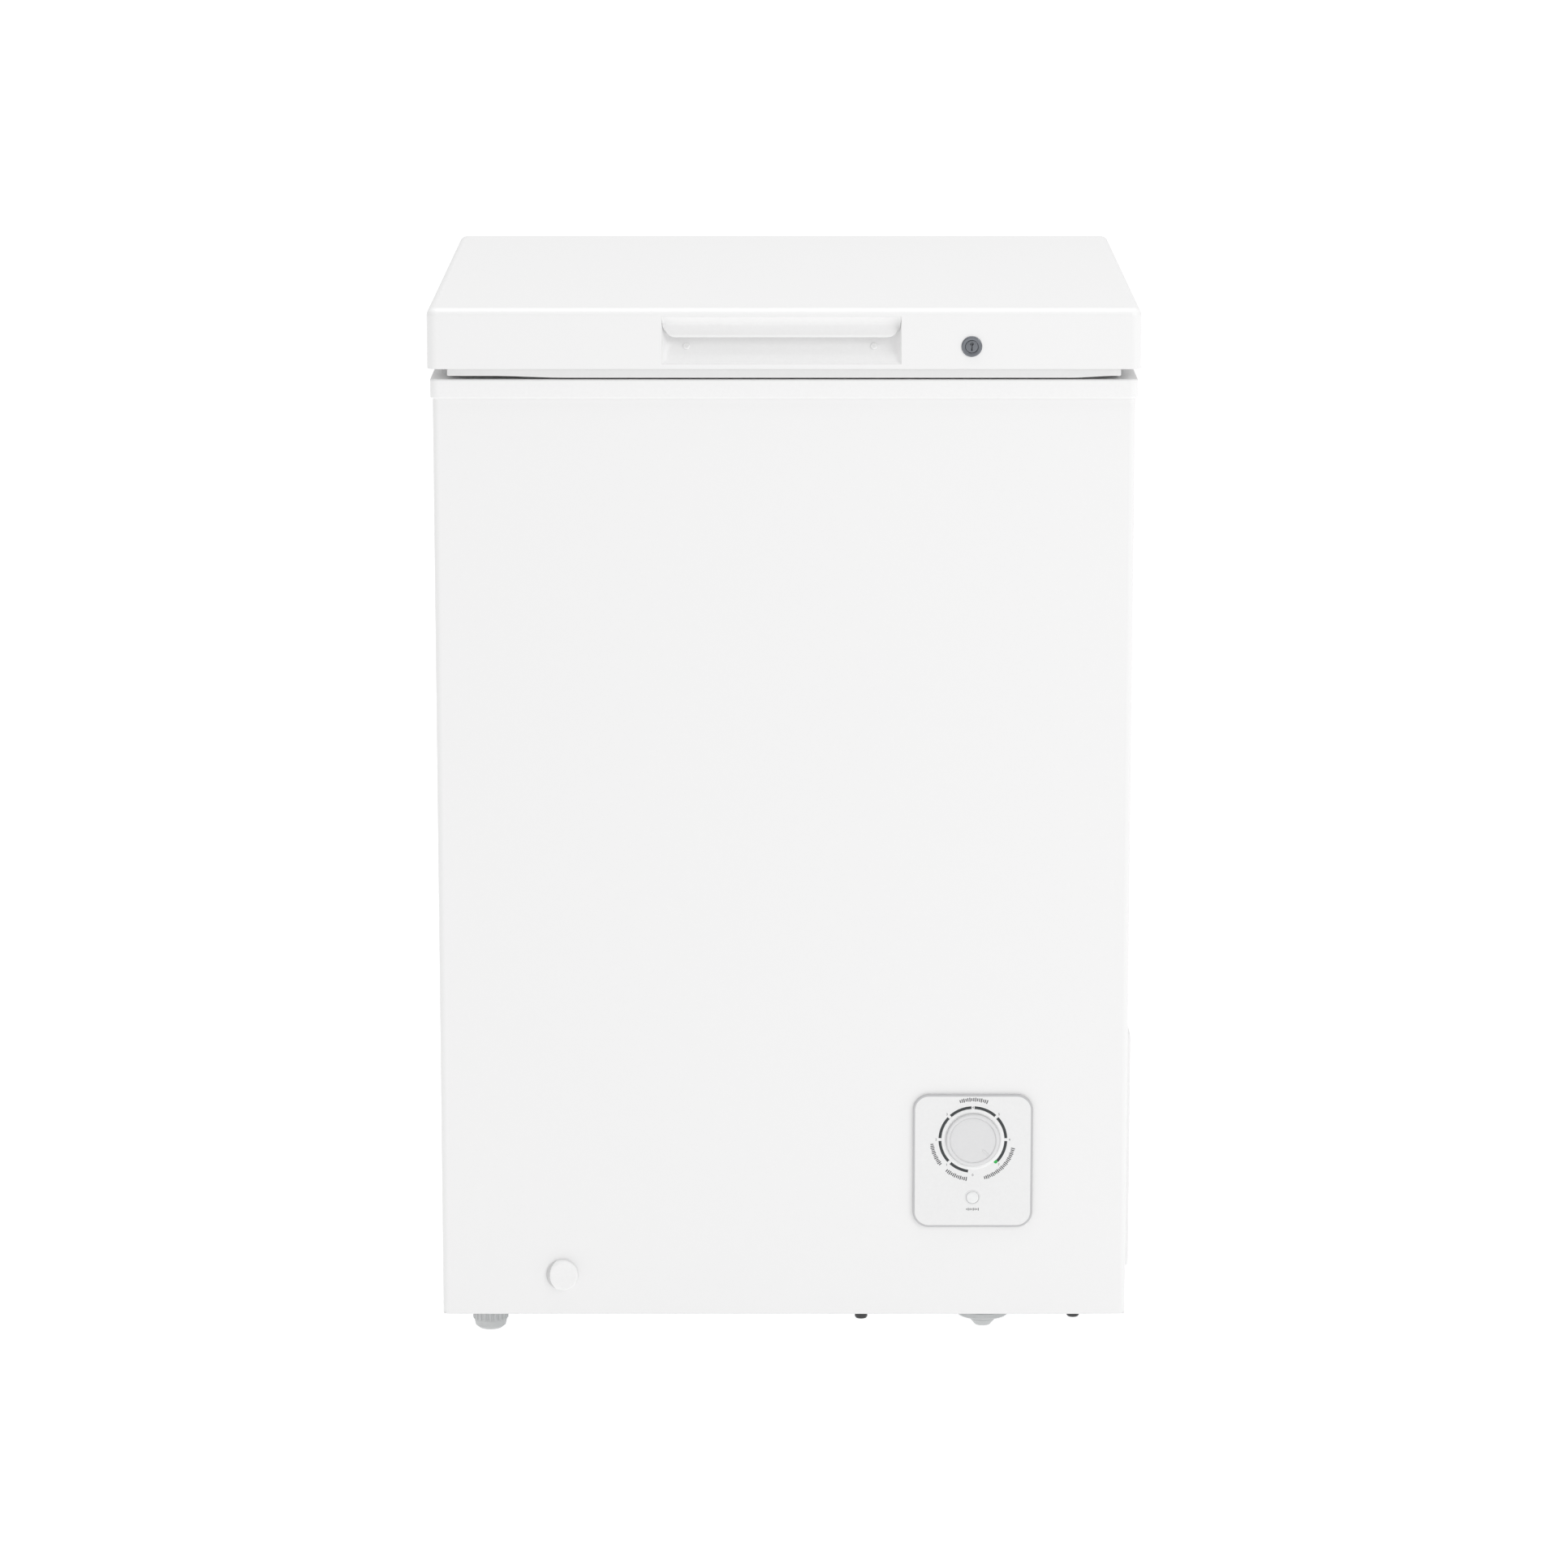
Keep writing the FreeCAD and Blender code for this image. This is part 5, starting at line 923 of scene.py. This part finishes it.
def build_front_lip():
    """Soft strip under the lid's front edge, hanging lowest between its ends."""
    low, high, mid = strip.low, strip.high, strip.size.y / 2
    ends = low.x, high.x
    from_left = [(0, 1.8), (1, 1.8), (40, 1.8), (52, 1.55), (82, 0.55), (96, 0.4)]
    from_right = [(38, 0.4), (31, 0.6), (14, 1.6), (8, 1.8), (1, 1.8), (0, 1.8)]
    line = [(ends[0] + x * MM, lift) for x, lift in from_left] + [(0.0, 0.4)]
    line += [(ends[1] - x * MM, lift) for x, lift in from_right]
    loops = []
    for x, lift in line:
        slim = mid - 0.6 * MM if x in ends else mid
        foot = low.z + lift * MM
        section = [(-slim, high.z), (-slim, foot + 1.4 * MM)]
        section += arc_profile(0, foot + mid, slim, 190, 350, 10)
        section += [(slim, foot + 1.4 * MM), (slim, high.z)]
        loops.append([Vector((x, low.y + mid + d, z)) for d, z in section])
    piece = new_piece("front_lip_strip", loft("front_lip_strip", loops), "lid", lip_vinyl)
    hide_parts("lid_front_lip")


# ---------------------------------------------------------------- air grilles
def build_side_vent():
    """Frame with sloping slats over the air opening in the right side."""
    face, inner = vent.high.x, vent.low.x
    low, high = vent.low, vent.high
    wide, tall = vent.size.y, vent.size.z
    mid_y, mid_z = vent.mid.y, vent.mid.z
    border = 16 * MM

    def loop(x, inset, radius):
        plan = rounded_rectangle(mid_y, mid_z, wide - 2 * inset, tall - 2 * inset, radius, 8)
        return [Vector((x, y, z)) for y, z in plan]

    rows = [
        (inner, 0.0, 4), (inner + 1.6 * MM, 0.0, 4), (face - 1.1 * MM, 0.4 * MM, 4),
        (face - 0.35 * MM, 1.1 * MM, 3.6), (face, 2.4 * MM, 3), (face, border - 1.2 * MM, 3),
        (face - 0.35 * MM, border - 0.4 * MM, 2.6),
        (face - 1.1 * MM, border, 2.4), (inner, border, 2.4),
    ]
    loops = [loop(x, inset, r * MM) for x, inset, r in rows]
    loops.append(loops[0])
    sunk = [(0, -4.0), (4.2, -4.0), (4.2, 1.0), (0, 1.0)]
    wells = [
        lathe("well", sunk, "x", Vector((face + 1.7 * MM, y, z)), 32)
        for y in (low.y + 8 * MM, high.y - 8 * MM) for z in (low.z + 9 * MM, high.z - 9 * MM)
    ]
    frame_mesh = carved("vent_frame", loft("vent_frame", loops, ends=(False, False)), *wells)
    slats, count = [], 17
    pitch = (tall - 2 * border) / count
    section = rounded([(0.2, 3.6), (0.2, 2.1), (3.4, -3.2), (3.4, -1.6)], 0.5, 3, closed=True)
    for i in range(count):
        base = low.z + border + pitch * (i + 0.5)
        ends = []
        for y in (low.y + border - 1 * MM, high.y - border + 1 * MM):
            ends.append([Vector((inner + d * MM, y, base + z * MM)) for d, z in section])
        slats.append(loft("slat", ends))
    stiffener = block("stiffener", (inner + 0.2 * MM, mid_y - 3 * MM, low.z + border - 1 * MM),
                      (inner + 1.8 * MM, mid_y + 3 * MM, high.z - border + 1 * MM))
    mesh = joined("vent_grille", [frame_mesh, *slats, stiffener])
    piece = new_piece("vent_grille", mesh, "cabinet", white_plastic)
    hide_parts("side_vent_cover")


def louvre(left, right, low, face, rise=0.0026, tall=0.0095):
    """A pressed hood: closed above and at the ends, open below."""
    end_round = 0.0055
    stations = [0, 0.0008, 0.002, 0.0036, end_round]
    along = stations + [right - left - s for s in reversed(stations)]
    line = [(0.0, 1.0), (0.15, 0.93), (0.45, 0.76), (0.75, 0.52), (0.95, 0.26), (1.0, 0.0)]
    loops = []
    for s in along:
        swell = quarter(min(s, right - left - s), end_round)
        loops.append([Vector((left + s, face + 0.0001 + rise * d * swell, low + tall * z)) for d, z in line])
    sheet = loft("louvre", loops, ends=(False, False), closed=False)
    return thicken(sheet, 0.0007)


def build_rear_cover():
    """Galvanised cover with two columns of pressed louvres."""
    low, high = rear_cover.low, rear_cover.high
    back = low.y
    gauge = 1.0 * MM
    plate = block("plate", (low.x, back, low.z), (high.x, back + gauge, high.z))
    slots, hoods = [], []
    for column in (0, 1):
        for row in range(11):
            x0 = low.x + (14 + 78 * column) * MM
            z0 = low.z + (24 + 15 * row) * MM
            corner = x0 + 66.5 * MM, back + 2 * MM, z0 + 6 * MM
            slots.append(block("slot", (x0 + 1.5 * MM, back - 1 * MM, z0), corner))
            hoods.append(louvre(x0, x0 + 68 * MM, z0 - 0.4 * MM, back + gauge - 0.2 * MM))
    cord_way = Vector((low.x + 22 * MM, back, low.z + 12 * MM))
    gland = lathe("bore", [(0, -4), (8, -4), (8, 4), (0, 4)], "y", cord_way, 48)
    folded = [
        block("fold", (low.x, back, high.z - 1 * MM), (high.x, back + 1.8 * MM, high.z)),
        block("fold", (low.x, back, low.z), (high.x, back + 1.8 * MM, low.z + 1 * MM)),
    ]
    cut_plate = carved("rear_louvre_cover", plate, *slots, gland)
    mesh = joined("rear_louvre_cover", [cut_plate, *hoods, *folded])
    piece = new_piece("rear_louvre_cover", mesh, "cabinet", sheet_zinc)
    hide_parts("rear_machine_cover")


build_handle()
build_screws()
build_lock()
build_panel_border()
build_dial_print()
build_knob()
build_lamp()
build_drain_cap()
build_hinge_springs()
build_gasket()
build_front_lip()
build_side_vent()
build_rear_cover()


# ---------------------------------------------------------------- studio
def backdrop_white(name, glow):
    """Near-white floor that keeps most of its brightness in shade."""
    material = bpy.data.materials.new(name)
    material.use_nodes = True
    tree = material.node_tree
    bsdf = tree.nodes["Principled BSDF"]
    bsdf.inputs["Base Color"].default_value = (0.45, 0.45, 0.45, 1)
    bsdf.inputs["Roughness"].default_value = 0.9
    bsdf.inputs["Specular IOR Level"].default_value = 0.1
    bsdf.inputs["Emission Color"].default_value = (1, 1, 1, 1)
    bsdf.inputs["Emission Strength"].default_value = glow
    return material


def build_floor():
    """A wide pale floor, so that its edge stays out of the picture."""
    reach = 60.0
    mesh = bpy.data.meshes.new("studio_floor")
    corners = [(-reach, -reach, 0), (reach, -reach, 0), (reach, reach, 0), (-reach, reach, 0)]
    mesh.from_pydata(corners, [], [(0, 1, 2, 3)])
    floor = bpy.data.objects.new("studio_floor", mesh)
    bpy.context.scene.collection.objects.link(floor)
    mesh.materials.append(backdrop_white("floor_white", 0.80))


def area_light(name, at, aim, side, watts):
    """A square soft box that faces a point."""
    data = bpy.data.lights.new(name, "AREA")
    data.shape, data.size, data.size_y = "RECTANGLE", side, side
    data.energy = watts
    lamp_object = bpy.data.objects.new(name, data)
    lamp_object.location = at
    lamp_object.rotation_euler = (Vector(aim) - Vector(at)).to_track_quat("-Z", "Y").to_euler()
    bpy.context.scene.collection.objects.link(lamp_object)


def build_studio():
    """Even white surroundings, with a soft key from the right and a soft light overhead."""
    world = bpy.data.worlds.new("studio_white")
    world.use_nodes = True
    sky = world.node_tree.nodes["Background"]
    sky.inputs["Color"].default_value = (1, 1, 1, 1)
    sky.inputs["Strength"].default_value = 0.66
    bpy.context.scene.world = world
    build_floor()
    area_light("key", (2.4, -2.5, 2.4), (0.1, 0, 0.5), 2.0, 28)
    area_light("ceiling", (0, 0.1, 4.4), (0, 0.1, 0.6), 2.6, 67)
    bpy.context.scene.view_settings.view_transform = "Standard"
    bpy.context.scene.view_settings.look = "None"


def build_camera():
    """Looks down a little from the front, as in the photo."""
    pitch_down = 11.61
    data = bpy.data.cameras.new("camera")
    data.sensor_width, data.lens = 36.0, 137.6
    data.clip_end = 200.0
    eye = bpy.data.objects.new("camera", data)
    eye.location = (0.0, -4.9645, 1.4328)
    eye.rotation_euler = (math.radians(90 - pitch_down), 0, 0)
    bpy.context.scene.collection.objects.link(eye)
    bpy.context.scene.camera = eye


build_studio()
build_camera()

bpy.context.view_layer.update()
